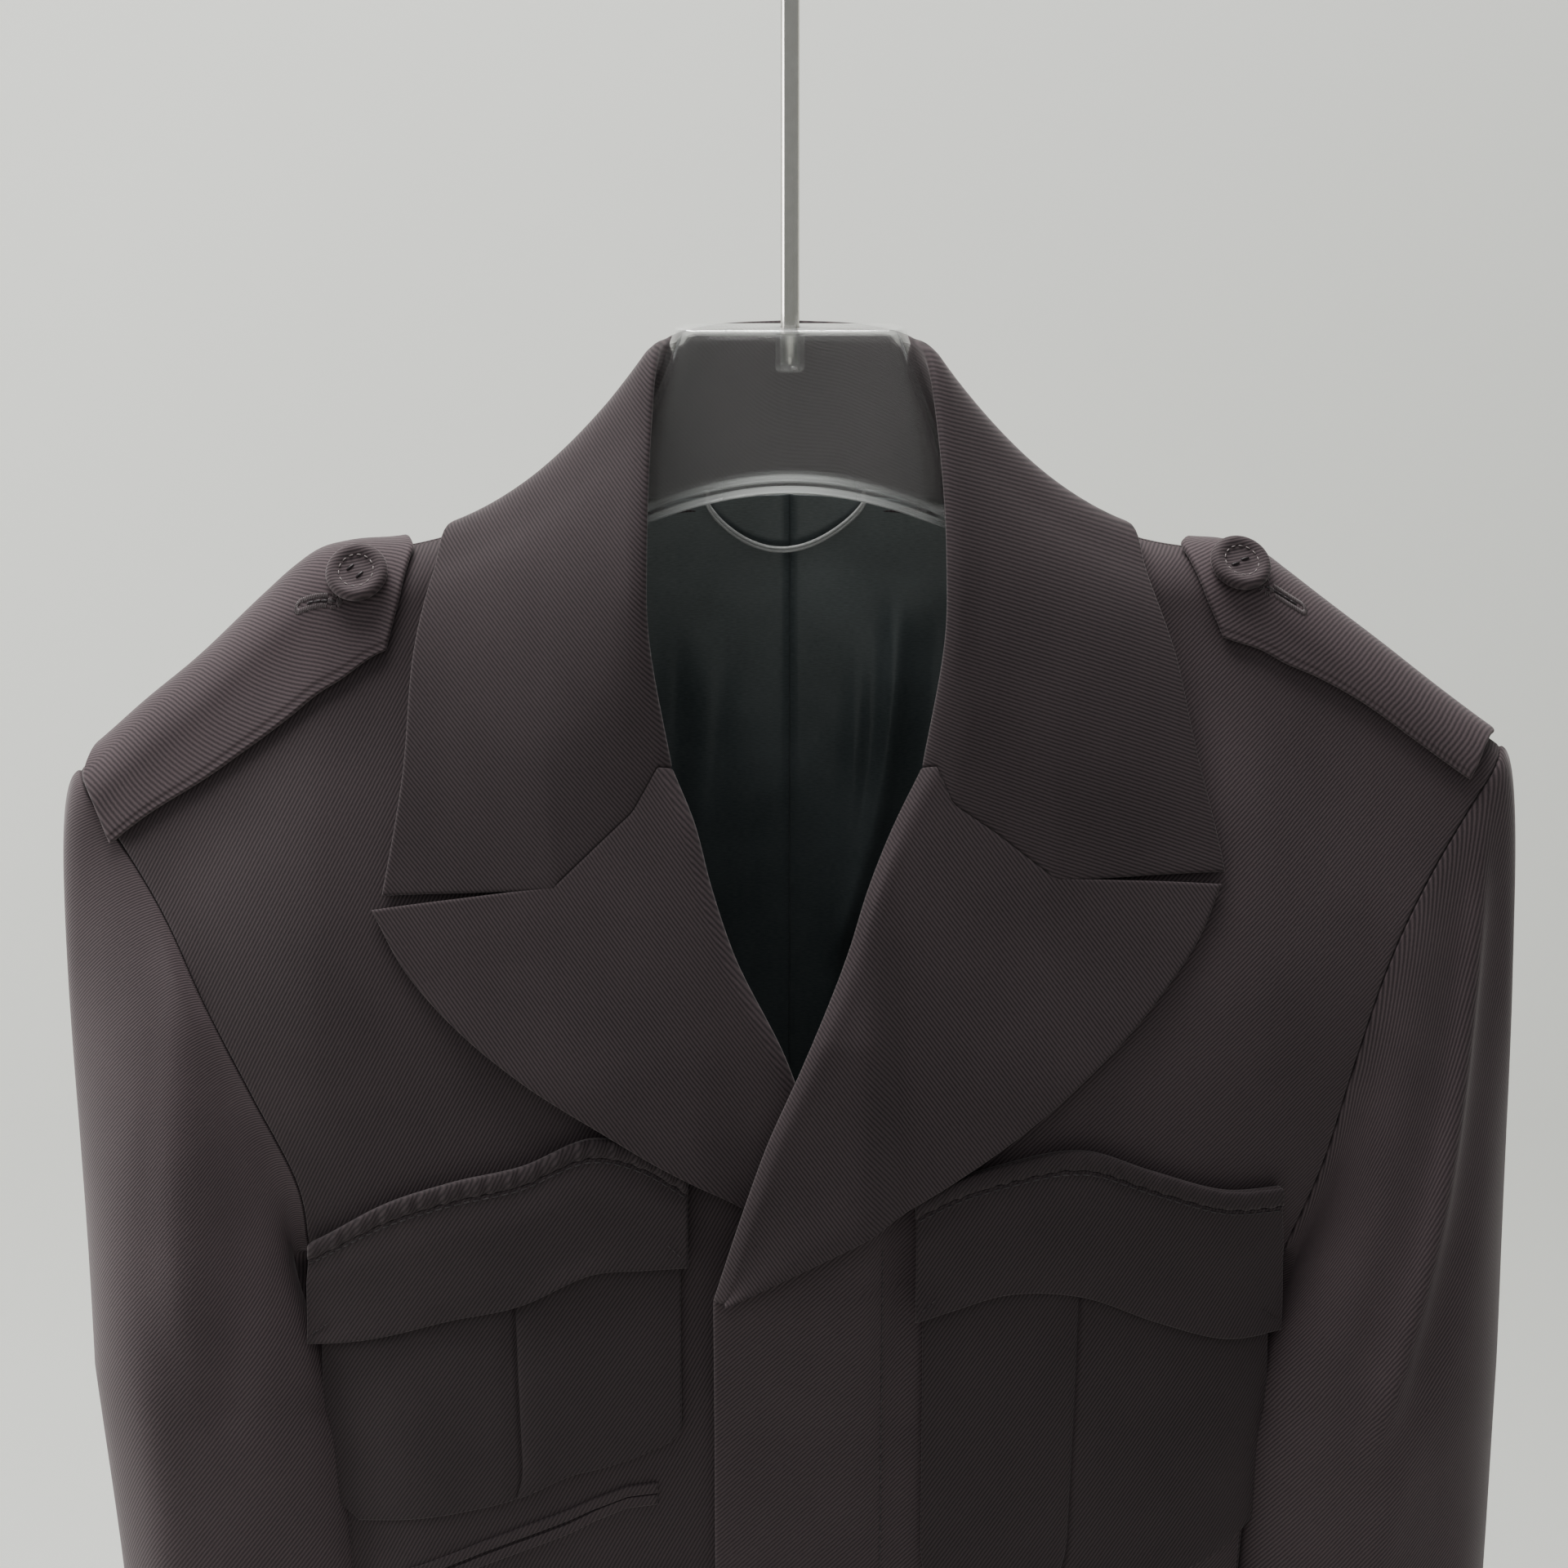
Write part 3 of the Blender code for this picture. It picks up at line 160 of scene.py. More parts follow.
def bell(value):
    """1 at 0, and down on both sides as e to the power of minus the square."""
    return np.exp(-value ** 2)


def crest(x):
    """Height of the shoulders' crest, read from the right or left column by the sign of x."""
    both = flowing(RIDGE, np.abs(x))
    return np.where(x < 0, both[..., 0], both[..., 1])


def soft_folds(table, x, z):
    """Sum of soft ridges: each is a bell across its bowed line and fades out at the line's two ends."""
    total = np.zeros(np.broadcast(x, z).shape)
    for x0, z0, x1, z1, bow, width, height in table:
        s = (z - z0) / (z1 - z0)
        middle = x0 + (x1 - x0) * s + bow * 4 * s * (1 - s)
        total = total + height * bell((x - middle) / width) * ease(s * 3.5) * ease((1 - s) * 5)
    return total


def torso_raw(x, along):
    """Body surface: along is the way over the crest, forwards below 0. Depth from the table, rounded to the sides."""
    x, along = np.broadcast_arrays(np.asarray(x, float), np.asarray(along, float))
    way = np.abs(along)
    turn = np.minimum(way / CREST_ARC, 1.0) * math.pi / 2
    drop = CREST_ROUND * (1 - np.cos(turn)) + np.maximum(way - CREST_ARC, 0.0)
    z = crest(x) - drop
    both = flowing(DEPTH, drop)
    thick = np.where(along < 0, both[..., 0], both[..., 1])
    thick = thick + NECK_OFF * bell(x / NECK_SPREAD) * np.exp(-drop / NECK_FADE)
    wide = read(ROUNDING, z, 1)
    rounding = (1 - np.minimum(np.abs(x) / wide, 0.99) ** ROUND_POWER) ** (1 / ROUND_POWER)
    y = np.sign(along) * thick * rounding * np.sin(turn)
    ahead, behind = (soft_folds(BODY_FOLDS[BODY_FOLDS[:, 0] == face, 1:], x, z) for face in (-1, 1))
    return np.stack([x, y + np.where(along < 0, -ahead, behind) * np.sin(turn), z], axis=-1)


def torso(x, along, lift=0.0):
    """Points of the body surface moved out by a lift, with outward normals from half-millimetre differences."""
    point = torso_raw(x, along)
    across = torso_raw(x + 0.5, along) - torso_raw(x - 0.5, along)
    over = torso_raw(x, along + 0.5) - torso_raw(x, along - 0.5)
    normal = unit(np.cross(across, over))
    facing = normal[..., 2:3] + np.abs(point[..., 1:2]) * 1e6 * np.sign(normal[..., 1:2] * point[..., 1:2])
    normal *= np.where(facing < 0, -1.0, 1.0)
    return point + normal * np.asarray(lift, float)[..., None], normal


def way_to(x, z, face):
    """How far over the crest a height lies, on the front (-1) or back (1): the drop of torso_raw turned round."""
    drop = np.maximum(crest(np.asarray(x, float)) - z, 0.0)
    turn = np.arccos(np.clip(1 - drop / CREST_ROUND, 0.0, 1.0))
    return face * np.where(drop < CREST_ROUND, turn / (math.pi / 2) * CREST_ARC, CREST_ARC + drop - CREST_ROUND)


def at(x, z, face=-1, lift=0.0):
    """A point of the body's front or back at a distance from the middle and a height, with its normal."""
    x, z = np.broadcast_arrays(np.asarray(x, float), np.asarray(z, float))
    return torso(x, way_to(x, z, face), lift)


def lap_lift(side, x, z):
    """Lift of the wearer's left front near the middle, where it lies over the right one."""
    if side < 0:
        return np.zeros(np.broadcast(x, z).shape)
    return np.interp(z, LAP_LIFT[:, 0], LAP_LIFT[:, 1]) * ease((LAP_START - x) / LAP_RUN)


def collar_stations(t):
    """Neck seam, fold and outer edge of the collar at each share, from the right gorge (-1) to the left (1)."""
    side = np.where(t < 0, -1.0, 1.0)
    values = flowing(COLLAR, np.abs(t))
    shift = COLLAR_SHIFT * np.where(t > 0, ease((np.abs(t) - 0.35) / 0.4), 0.0)
    values[:, [0, 3]] += shift[:, None]
    values[:, [0, 3, 6]] *= side[:, None]
    neck, _ = at(values[:, 0], values[:, 2], np.where(values[:, 1] > 0, 1, -1))
    return neck, values[:, 3:6], values[:, 6:9], values[:, 9]


def armhole_edge(side, share):
    """Armhole seam from the armpit (0) to the shoulder tip (1): distance and height."""
    values = flowing(ARMHOLE, share)
    pair = values[..., 0:2] if side < 0 else values[..., 2:4]
    return side * pair[..., 1], pair[..., 0]


def front_edge(side, share):
    """Inner edge of a front from the armpit's height (0) to the neck point (1), even along its length."""
    neckline = collar_stations(side * np.linspace(1.0, 0.5, 14))[0]
    roll_heights = np.linspace(ARMPIT, ROLL_TOP - 3, 24)
    rolls = read(ROLL, roll_heights, COLUMN[side]) + side * FOLD_NOSE
    line = np.concatenate([np.column_stack([rolls, roll_heights]), neckline[:, ::2]])
    length = arc_length(line)
    return spread(line, length / length[-1], share).T


def panel(side, face, lower_x, inner_x, inner_z, u, v):
    """Front or back in distance and way over the crest. Above the armpit it is a patch blended between its edges."""
    outer_x, outer_z = armhole_edge(side, v)
    base_x = inner_x[0] + (outer_x[0] - inner_x[0]) * u
    base_way = way_to(base_x, inner_z[0] + (outer_z[0] - inner_z[0]) * u, face)
    crest_x = inner_x[-1] + (outer_x[-1] - inner_x[-1]) * u
    inner_way, outer_way = way_to(inner_x, inner_z, face), way_to(outer_x, outer_z, face)
    top_way = inner_way[-1] + (outer_way[-1] - inner_way[-1]) * u
    u, v = u[None, :], v[:, None]

    def patch(left, right, bottom, top):
        corners = (1 - u) * (1 - v) * left[0] + u * (1 - v) * right[0]
        corners = corners + (1 - u) * v * left[-1] + u * v * right[-1]
        return (1 - u) * left[:, None] + u * right[:, None] + (1 - v) * bottom + v * top - corners

    x = np.concatenate([lower_x, patch(inner_x, outer_x, base_x, crest_x)])
    lower_way = way_to(lower_x, lower_heights[:, None], face)
    return x, np.concatenate([lower_way, patch(inner_way, outer_way, base_way, top_way)])


def grid_normals(grid):
    """Normals of a grid of points, from the directions along its rows and columns."""
    return unit(np.cross(np.gradient(grid, axis=1), np.gradient(grid, axis=0)))


def upright(grid):
    """Weave coordinates of an upright piece: arc length across each row from x = 0, and height."""
    step = np.linalg.norm(np.diff(grid[..., :2], axis=1), axis=-1) * np.sign(np.diff(grid[..., 0], axis=1))
    run = np.concatenate([grid[:, :1, 0], grid[:, :1, 0] + np.cumsum(step, axis=1)], axis=1)
    return np.stack([run, grid[..., 2]], axis=-1)


def arcs(grid):
    """Weave coordinates by arc length along the rows and the columns."""
    across = np.cumsum(np.linalg.norm(np.diff(grid, axis=1, prepend=grid[:, :1]), axis=-1), axis=1)
    down = np.cumsum(np.linalg.norm(np.diff(grid, axis=0, prepend=grid[:1]), axis=-1), axis=0)
    return np.stack([across, down], axis=-1)


def quads(rows, columns, closed=False):
    """Faces of a grid of points, its last column joined to the first where it is closed."""
    i = np.arange(rows - 1)[:, None] * columns
    j = np.arange(columns if closed else columns - 1)
    a, b = (i + j).ravel(), (i + (j + 1) % columns).ravel()
    return np.stack([a, b, b + columns, a + columns], axis=1)


def mesh_piece(name, points, faces, finish, slot, node=None, weave=None):
    """A closed body from points in millimetres, its faces turned outwards, with its weave coordinates in metres."""
    points = (np.asarray(points, float) + (0, 0, PLATE)) * MM
    mesh = bpy.data.meshes.new(name)
    mesh.from_pydata(points.tolist(), [], faces)
    mesh.calc_loop_triangles()
    corners = np.empty(len(mesh.loop_triangles) * 3, int)
    mesh.loop_triangles.foreach_get("vertices", corners)
    a, b, c = points[corners.reshape(-1, 3)].transpose(1, 0, 2)
    if np.einsum("ij,ij->i", a, np.cross(b, c)).sum() < 0:
        mesh.flip_normals()
    if weave is not None:
        order = np.empty(len(mesh.loops), int)
        mesh.loops.foreach_get("vertex_index", order)
        layer = mesh.uv_layers.new(name="weave")
        layer.uv.foreach_set("vector", (weave[order] * MM).astype(np.float32).ravel())
    mesh.shade_smooth()
    mesh.materials.append(finish)
    piece = new_object(name, mesh)
    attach(piece, "root")
    if node:
        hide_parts(node)
    return piece


def rounded_edges(data, reach):
    """Adds rows within a reach of a grid's four edges. The wall's share of thickness there is a half round."""
    near, low = np.array([0.1, 0.35, 0.7, 1.0]), 0.16
    rise = low + (1 - low) * np.sqrt(1 - (1 - near) ** 2)
    shares = []
    for _ in ("rows", "columns"):
        share = np.ones(len(data))
        for _ in ("start", "end"):
            step = data[1] - data[0]
            span = np.maximum(np.linalg.norm(step[:, :3], axis=-1), 1e-6)
            k = np.minimum(near[:, None] * reach / span, near[:, None] * 0.85)
            data = np.concatenate([data[:1], data[0] + step * k[..., None], data[1:]])[::-1]
            share = np.concatenate([[low], rise, share[1:]])[::-1]
        data = np.swapaxes(data, 0, 1)
        shares.append(share)
    return data, shares[0][:, None] * shares[1][None, :]


def cloth(name, grid, normal, thickness, finish, node, weave=None, slot="twill"):
    """Cloth as a closed shell: the grid moved out and in by half the wall, its edges turned in a half round.

    The flat size, the longest row and column, and the flat area of the grid before the shell is made are worked out and
    not used."""
    weave = arcs(grid) if weave is None else weave
    row_arc = np.linalg.norm(np.diff(grid, axis=1), axis=-1).sum(axis=1).max()
    column_arc = np.linalg.norm(np.diff(grid, axis=0), axis=-1).sum(axis=0).max()
    one, two = grid[1:, 1:] - grid[:-1, :-1], grid[1:, :-1] - grid[:-1, 1:]
    area = 0.5 * np.linalg.norm(np.cross(one, two), axis=-1).sum()
    data, share = rounded_edges(np.concatenate([grid, normal, weave], axis=-1), thickness * EDGE_REACH)
    rows, columns = data.shape[:2]
    half = unit(data[..., 3:6]) * share[..., None] * thickness / 2
    points = np.concatenate([(data[..., :3] + half).reshape(-1, 3), (data[..., :3] - half).reshape(-1, 3)])
    count = rows * columns
    top = quads(rows, columns)
    ring = np.concatenate([
        np.arange(columns - 1), np.arange(rows - 1) * columns + columns - 1,
        count - 1 - np.arange(columns - 1), (rows - 1 - np.arange(rows - 1)) * columns])
    after = np.roll(ring, -1)
    rim = np.stack([after, ring, ring + count, after + count], axis=1)
    faces = np.concatenate([top, top[:, ::-1] + count, rim]).tolist()
    piece = mesh_piece(name, points, faces, finish, slot, node, np.tile(data[..., 6:8].reshape(-1, 2), (2, 1)))
    flat = (row_arc * MM, column_arc * MM)
    area = min(area * MM * MM, flat[0] * flat[1])
    return piece


class Finish:
    """A material from nodes. Values go to inputs or settings by name, and other nodes' outputs are linked."""

    def __init__(self, name, **values):
        self.material = bpy.data.materials.new(name)
        self.material.use_nodes = True
        self.tree = self.material.node_tree
        self.shader = self.tree.nodes["Principled BSDF"]
        self.feed(self.shader, **values)

    def feed(self, node, **values):
        for key, value in values.items():
            socket = key.replace("_", " ")
            if isinstance(value, bpy.types.NodeSocket):
                self.tree.links.new(value, node.inputs[socket])
            elif socket in node.inputs:
                node.inputs[socket].default_value = value
            else:
                setattr(node, key, value)
        return node

    def add(self, kind, output=0, **values):
        """One output of a new node."""
        return self.feed(self.tree.nodes.new("ShaderNode" + kind), **values).outputs[output]

    def grain(self, scale, **more):
        """Cloudy noise in the object's own coordinates."""
        return self.add("TexNoise", "Fac", Vector=self.add("TexCoord", "Object"), Scale=scale, **more)

    def mix(self, share, first, second):
        """Two values mixed, the second one with a share."""
        return self.add("Mix", data_type="FLOAT", Factor=share, A=first, B=second)

    def tint(self, value, low, high, least=0.0, most=1.0):
        """The shader's colour: from low to high as a value goes from the least to the most."""
        ramp = self.feed(self.tree.nodes.new("ShaderNodeValToRGB"), Fac=value)
        for stop, place, colour in zip(ramp.color_ramp.elements, (least, most), (low, high)):
            stop.position, stop.color = place, (*colour, 1)
        self.feed(self.shader, Base_Color=ramp.outputs["Color"])

    def bump(self, height, strength, distance):
        """Fine relief of the shader's normal."""
        self.feed(self.shader, Normal=self.add("Bump", Height=height, Strength=strength, Distance=distance))


def twill(name, lean, painted_light_scale=1.0):
    """Wool twill: diagonal ribs 1.1 mm apart at an angle in the weave's own coordinates, broken up by the yarn.

    The ribs are a sine wave across the slant, and a little paler than the valleys. Each copy is scaled lighter or
    darker to paint the light and shade that fall on its part."""
    wool = Finish(name, Roughness=0.82, Specular_IOR_Level=0.25, Sheen_Weight=0.22, Sheen_Roughness=0.4,
                  Sheen_Tint=(0.75, 0.68, 0.7, 1))
    weave = wool.add("UVMap", uv_map="weave")
    slant = wool.add("Mapping", Vector=weave, Rotation=(0, 0, -math.radians(lean)))
    ribs = wool.add("TexWave", "Fac", Vector=slant, wave_type="BANDS", bands_direction="Y", wave_profile="SIN",
                    Scale=2 * math.pi / 20 / RIB, Distortion=0.5, Detail=1.0, Detail_Scale=2.2)
    yarn_place = wool.add("Mapping", Vector=slant, Scale=(700, 2600, 1))
    yarn = wool.add("TexNoise", "Fac", Vector=yarn_place, Scale=1.0, Detail=2.0)
    clouds = wool.add("TexNoise", "Fac", Vector=weave, Scale=28.0, Detail=3.0)
    relief = wool.mix(0.35, ribs, yarn)
    # The scale makes this copy of the cloth lighter or darker: painted light and shade.
    valley, rib = np.array([(0.0158, 0.0115, 0.0133), (0.0635, 0.0470, 0.0512)]) * painted_light_scale
    wool.tint(wool.mix(0.22, relief, clouds), valley, rib, 0.18, 0.82)
    wool.bump(relief, 0.35, 0.00025)
    return wool.material


# Both fronts are the same cloth: the wearer's left copy is scaled lighter and the right darker, as painted light and
# shade.
front_twill = {-1: twill("right_front_twill", 62, 0.94), 1: twill("left_front_twill", 43, 1.2)}
lower_heights = HEM + (ARMPIT - HEM) * np.linspace(0, 1, 120)[:-1]
for side, mark in SIDES:
    share = np.linspace(0, 1, 60)
    seam = side * read(SIDE_SEAM, lower_heights, COLUMN[side])
    lower_x = -side * LAP_PAST + (seam + side * LAP_PAST)[:, None] * share
    up = np.linspace(0, 1, 100)
    x, way = panel(side, -1, lower_x, *front_edge(side, up), share, up)
    grid, normal = torso(x, way, lap_lift(side, x, torso_raw(x, way)[..., 2]))
    cloth(mark + "_front", grid, normal, CLOTH, front_twill[side], "front_" + mark, upright(grid))

# Backs: two panels of the same twill, joined at the centre-back seam.
# They go up from the hem to the neck and shoulder seams and to the armholes.
NECK_ROW = 0.84
body_twill = twill("body_twill", 60)
for side, mark in SIDES:
    share = np.linspace(0, 1, 40)
    lower_x = side * read(SIDE_SEAM, lower_heights, COLUMN[side])[:, None] * share
    low, high = np.linspace(0, NECK_ROW, 56)[:-1], np.linspace(NECK_ROW, 1, 22)
    neck = collar_stations(side * np.linspace(0.0001, 0.5, len(high)))[0]
    neck[0, 0] = 0.0
    inner_x = np.concatenate([0 * low, neck[:, 0]])
    inner_z = np.concatenate([ARMPIT + (neck[0, 2] - ARMPIT) * low / NECK_ROW, neck[:, 2]])
    x, way = panel(side, 1, lower_x, inner_x, inner_z, share, np.concatenate([low, high]))
    grid, normal = torso(x, way)
    cloth(mark + "_back", grid, normal, CLOTH, body_twill, "back_" + mark, upright(grid))

# Side panels: twill under each arm, sewn to the front and the back at the two side seams.
# They are tucked in where the sleeve hangs, as on an empty jacket.
SIDE_TUCK, SIDE_LEAN, UNDERARM_DIP = 26.0, 0.5, 26.0


def sideways(side, normal):
    """Level direction along the cloth, away from the middle."""
    way = unit(np.cross((0, 0, 1.0), normal))
    return way * np.sign(way[..., 0:1] * side)


def side_grid(side, rows, columns):
    """Side panel: a cubic from the front's seam to the back's in their own directions, less a tuck."""
    u = np.linspace(0, 1, columns)
    top = ARMPIT - UNDERARM_DIP * np.sin(math.pi * u)
    height = HEM + (top - HEM) * np.linspace(0, 1, rows)[:, None]
    seam = side * read(SIDE_SEAM, height, COLUMN[side])
    ahead, ahead_normal = at(seam, height, -1)
    behind, behind_normal = at(seam, height, 1)
    reach = (behind - ahead)[..., 1:2] * SIDE_LEAN
    u = u[None, :, None]
    away, back = sideways(side, ahead_normal) * reach, sideways(side, behind_normal) * reach
    points = between(u, ahead, away, behind, -back)
    points[..., 0] -= side * SIDE_TUCK * np.abs(np.sin(math.pi * u[..., 0])) ** 1.3
    normals = grid_normals(points)
    normals *= np.sign(side * normals[rows // 2, columns // 2, 0])
    return points, normals


for side, mark in SIDES:
    grid, normal = side_grid(side, 120, 34)
    cloth(mark + "_side", grid, normal, CLOTH, body_twill, "side_" + mark)

# Sleeves: each an upper and an under sleeve of twill, sewn together down the arm and open at the cuff.
# They are set in at the armhole, a little fuller at the cap.
# Sleeve rings: height, middle on the wearer's right and left, middle front to back, half width, half depth
SLEEVE = np.array([
    (-345, 190, 194, -4, 44, 61), (-430, 183, 193, -5, 44, 59), (-540, 182, 192, -8, 41, 56),
    (-660, 184, 193, -14, 37, 52), (-778, 188, 195, -21, 33, 48)], float)
SLEEVE_COLUMNS, CAP_ROWS, SLEEVE_POWER, UNDER_SLEEVE = 120, 56, 2.2, (46, 77)
ARMHOLE_GAP, HEAD_RISE, HEAD_SPREAD, CAP_LEAD = 0.4, 8.0, 11.0, {-1: 18.0, 1: 13.0}
CORNER_TURN, CORNER_SPREAD, CORNER_IN, CORNER_AHEAD = 2.35, 0.62, 10.5, 11.0
# Folds on a sleeve's front: top (x, z), foot (x, z), bow, half width, height
SLEEVE_FOLDS = {
    -1: np.array([
        (-187, -160, -192, -335, -6, 9, 2.2), (-182, -262, -184, -360, 3, 9, -1.6),
        (-214, -300, -205, -470, 4, 9, 1.8), (-168, -380, -176, -520, 3, 8, -1.8),
        (-200, -520, -190, -600, 4, 12, 1.8), (-180, -600, -200, -700, 3, 10, -1.6)]),
    1: np.array([
        (225, -136, 181, -380, 10, 3.2, 2.8), (233, -150, 190, -380, 10, 6, -2.0),
        (214, -170, 172, -360, 9, 7, -1.2),
        (200, -320, 184, -430, 3, 8, 2.2), (212, -360, 206, -520, 3, 9, -1.8),
        (190, -520, 200, -620, 3, 12, 1.8), (208, -600, 190, -720, 3, 11, -1.6)])}


def armhole_loop(side):
    """The armhole as a ring from the shoulder tip down the front and up the back, with the way that leaves it."""
    x, z = armhole_edge(side, np.linspace(1, 0, 70))
    ahead, ahead_normal = at(x, z, -1)
    behind, behind_normal = at(x, z, 1)
    under, under_normal = side_grid(side, 60, 40)
    ring = np.concatenate([ahead, under[-1, 1:-1], behind[::-1][:-1]])
    normal = np.concatenate([ahead_normal, under_normal[-1, 1:-1], behind_normal[::-1][:-1]])
    leave = np.cross(np.roll(ring, -3, axis=0) - np.roll(ring, 3, axis=0), normal)
    leave = unit(leave) * np.where(leave[4:5, 0:1] * side < 0, -1.0, 1.0)
    closed = [np.concatenate([values, values[:1]]) for values in (ring, normal, leave)]
    length = arc_length(closed[0])
    wanted = np.arange(SLEEVE_COLUMNS) / SLEEVE_COLUMNS * length[-1]
    return [spread(values, length, wanted) for values in closed]


def sleeve_rings(side, height):
    """Level rings of a sleeve: a superellipse, outer side first, its inner front corner laid over the body."""
    values = flowing(SLEEVE[::-1], height)[:, None, :]
    middle = side * values[..., COLUMN[side] - 1]
    angle = 2 * math.pi * np.arange(SLEEVE_COLUMNS) / SLEEVE_COLUMNS
    across, ahead = np.cos(angle), np.sin(angle)
    x = middle + side * values[..., 3] * np.sign(across) * np.abs(across) ** (2 / SLEEVE_POWER)
    y = values[..., 2] - values[..., 4] * np.sign(ahead) * np.abs(ahead) ** (2 / SLEEVE_POWER)
    corner = bell((angle - CORNER_TURN) / CORNER_SPREAD)
    fade = ease((-300 - height) / 60)[:, None] * (1 - 0.6 * ease((-520 - height) / 200)[:, None])
    x = x - side * CORNER_IN * corner * fade
    y = y - CORNER_AHEAD * corner * fade
    return np.stack([x, y, np.repeat(height[:, None], SLEEVE_COLUMNS, axis=1)], axis=-1)


def cubic(t, start, first, second, end):
    """A cubic curve from start to end, drawn towards two guides."""
    return (1 - t) ** 3 * start + 3 * (1 - t) ** 2 * t * first + 3 * (1 - t) * t**2 * second + t**3 * end


def sleeve_grid(side):
    """A whole sleeve as rows of rings: a cubic cap leaves the armhole and bends down into the arm's rings."""
    ring, ring_normal, leave = armhole_loop(side)
    ring = ring + leave * ARMHOLE_GAP
    target = sleeve_rings(side, np.array([SLEEVE[0, 0]]))[0]
    reach = np.linalg.norm(target - ring, axis=1, keepdims=True)
    near_tip = np.minimum(np.arange(SLEEVE_COLUMNS), SLEEVE_COLUMNS - np.arange(SLEEVE_COLUMNS))[:, None]
    first = ring + leave * np.minimum(CAP_LEAD[side], 0.45 * reach)
    first = first + np.array([0, 0, HEAD_RISE]) * bell(near_tip / HEAD_SPREAD)
    second = target + np.array([0, 0, 1.0]) * np.minimum(0.4 * reach, 60.0)
    t = (np.linspace(0, 1, CAP_ROWS, endpoint=False) ** 1.3)[:, None, None]
    arm = sleeve_rings(side, np.linspace(SLEEVE[0, 0], SLEEVE[-1, 0], 110))
    grid = np.concatenate([cubic(t, ring, first, second, target), arm])

    def outward(rings):
        normal = grid_normals(np.concatenate([rings[:, -1:], rings, rings[:, :1]], axis=1))[:, 1:-1]
        normal *= np.sign(normal[-1, 0, 0] * side)
        normal[:2] = ring_normal
        return normal

    normal = outward(grid)
    fade = ease(np.arange(len(grid)) / 8.0)[:, None, None]
    mirrored = SLEEVE_FOLDS[-side] * (-1, 1, -1, 1, -1, 1, 0.8)
    push = 0
    for folds, facing in ((SLEEVE_FOLDS[side], -normal[..., 1:2]), (mirrored, normal[..., 1:2])):
        push = push + soft_folds(folds, grid[..., 0], grid[..., 2])[..., None] * ease(facing * 2.0) * fade
    grid = grid + normal * push
    return grid, outward(grid)


def sleeve_weave(grid, side):
    """Weave coordinates: arc length round each ring from the middle of the front, and height by arc down the arm."""
    closed = np.concatenate([grid, grid[:, :1]], axis=1)
    run, down = np.moveaxis(arcs(closed), -1, 0)
    across = run - run[:, SLEEVE_COLUMNS // 4, None]
    across = np.concatenate([across[:, :-1] - run[:, -1:], across], axis=1)
    height = SLEEVE[0, 0] + down[CAP_ROWS] - down
    return np.stack([-side * across, np.concatenate([height[:, :-1], height], axis=1)], axis=-1)


# The sleeves' copy of the cloth is scaled lighter, as painted light on the sleeves.
sleeve_twill = twill("sleeve_twill", 50, 1.42)
for side, mark in SIDES:
    grid, normal = sleeve_grid(side)
    start, end = UNDER_SLEEVE
    weave = sleeve_weave(grid, side)
    for part, columns in (("upper", np.arange(end - SLEEVE_COLUMNS, start + 1)), ("under", np.arange(start, end + 1))):
        ring = columns % SLEEVE_COLUMNS
        cloth(mark + "_sleeve_" + part, grid[:, ring], normal[:, ring], CLOTH, sleeve_twill, f"sleeve_{part}_{mark}",
              weave[:, columns + SLEEVE_COLUMNS])

# Lapels: wide and peaked, cut with the fronts and faced in the same twill.
# They turn over at the roll line and lie out on the fronts to their peaks.
LAPEL_CLOTH, FOLD_RISE, FOLD_RISE_BREAK, LEAF_LIFT, LEAF_SPRING = 1.8, 7.0, 4.2, 3.4, 4.2
FLAT_FROM, FLAT_RUN, FOLD_PULL, OPEN_WIDE = -13.0, 17.0, 0.72, 1.15
# Outer edges: share from the peak to the break, x, height
LAPEL_EDGE = {
    -1: np.array([
        (0, -132, -178.1), (0.14, -120.2, -197.3), (0.28, -102, -215.3), (0.4, -83.9, -228.4),
        (0.55, -58.3, -243.4), (0.66, -43, -252.3), (0.82, -16, -266.8), (1.0, 20, -293)], float),
    1: np.array([
        (0, 136.1, -170.4), (0.13, 128.1, -187.6), (0.28, 111.1, -209.3), (0.46, 85.4, -233.7),
        (0.65, 54.6, -256.5), (0.76, 34.1, -268.9), (0.88, 8.4, -282.3), (1.0, -20, -297)], float)}
# Seam between lapel and collar: share from the roll line outwards, x, height
GORGE = {
    -1: np.array([(0, -40, -135), (0.14, -47.9, -148), (0.27, -58.2, -157), (0.42, -72.8, -170)], float),
    1: np.array([(0, 44, -135), (0.14, 49.2, -145.6), (0.27, 63.3, -154.7), (0.42, 81.4, -167.8)], float)}
COLLAR_POINT = {-1: (-128.7, -173.8), 1: (137.2, -166.8)}
TURN_COLUMNS, LEAF_SHARES = 12, np.linspace(0.03, 1.0, 50)


def fold_turn(start, apex, end, count):
    """The turn of a fold: a cubic that leaves both layers towards the fold's apex."""
    t = np.linspace(0, 1, count)[:, None, None]
    first, second = start + (apex - start) * FOLD_PULL, end + (apex - end) * FOLD_PULL
    return cubic(t, start, first, second, end)


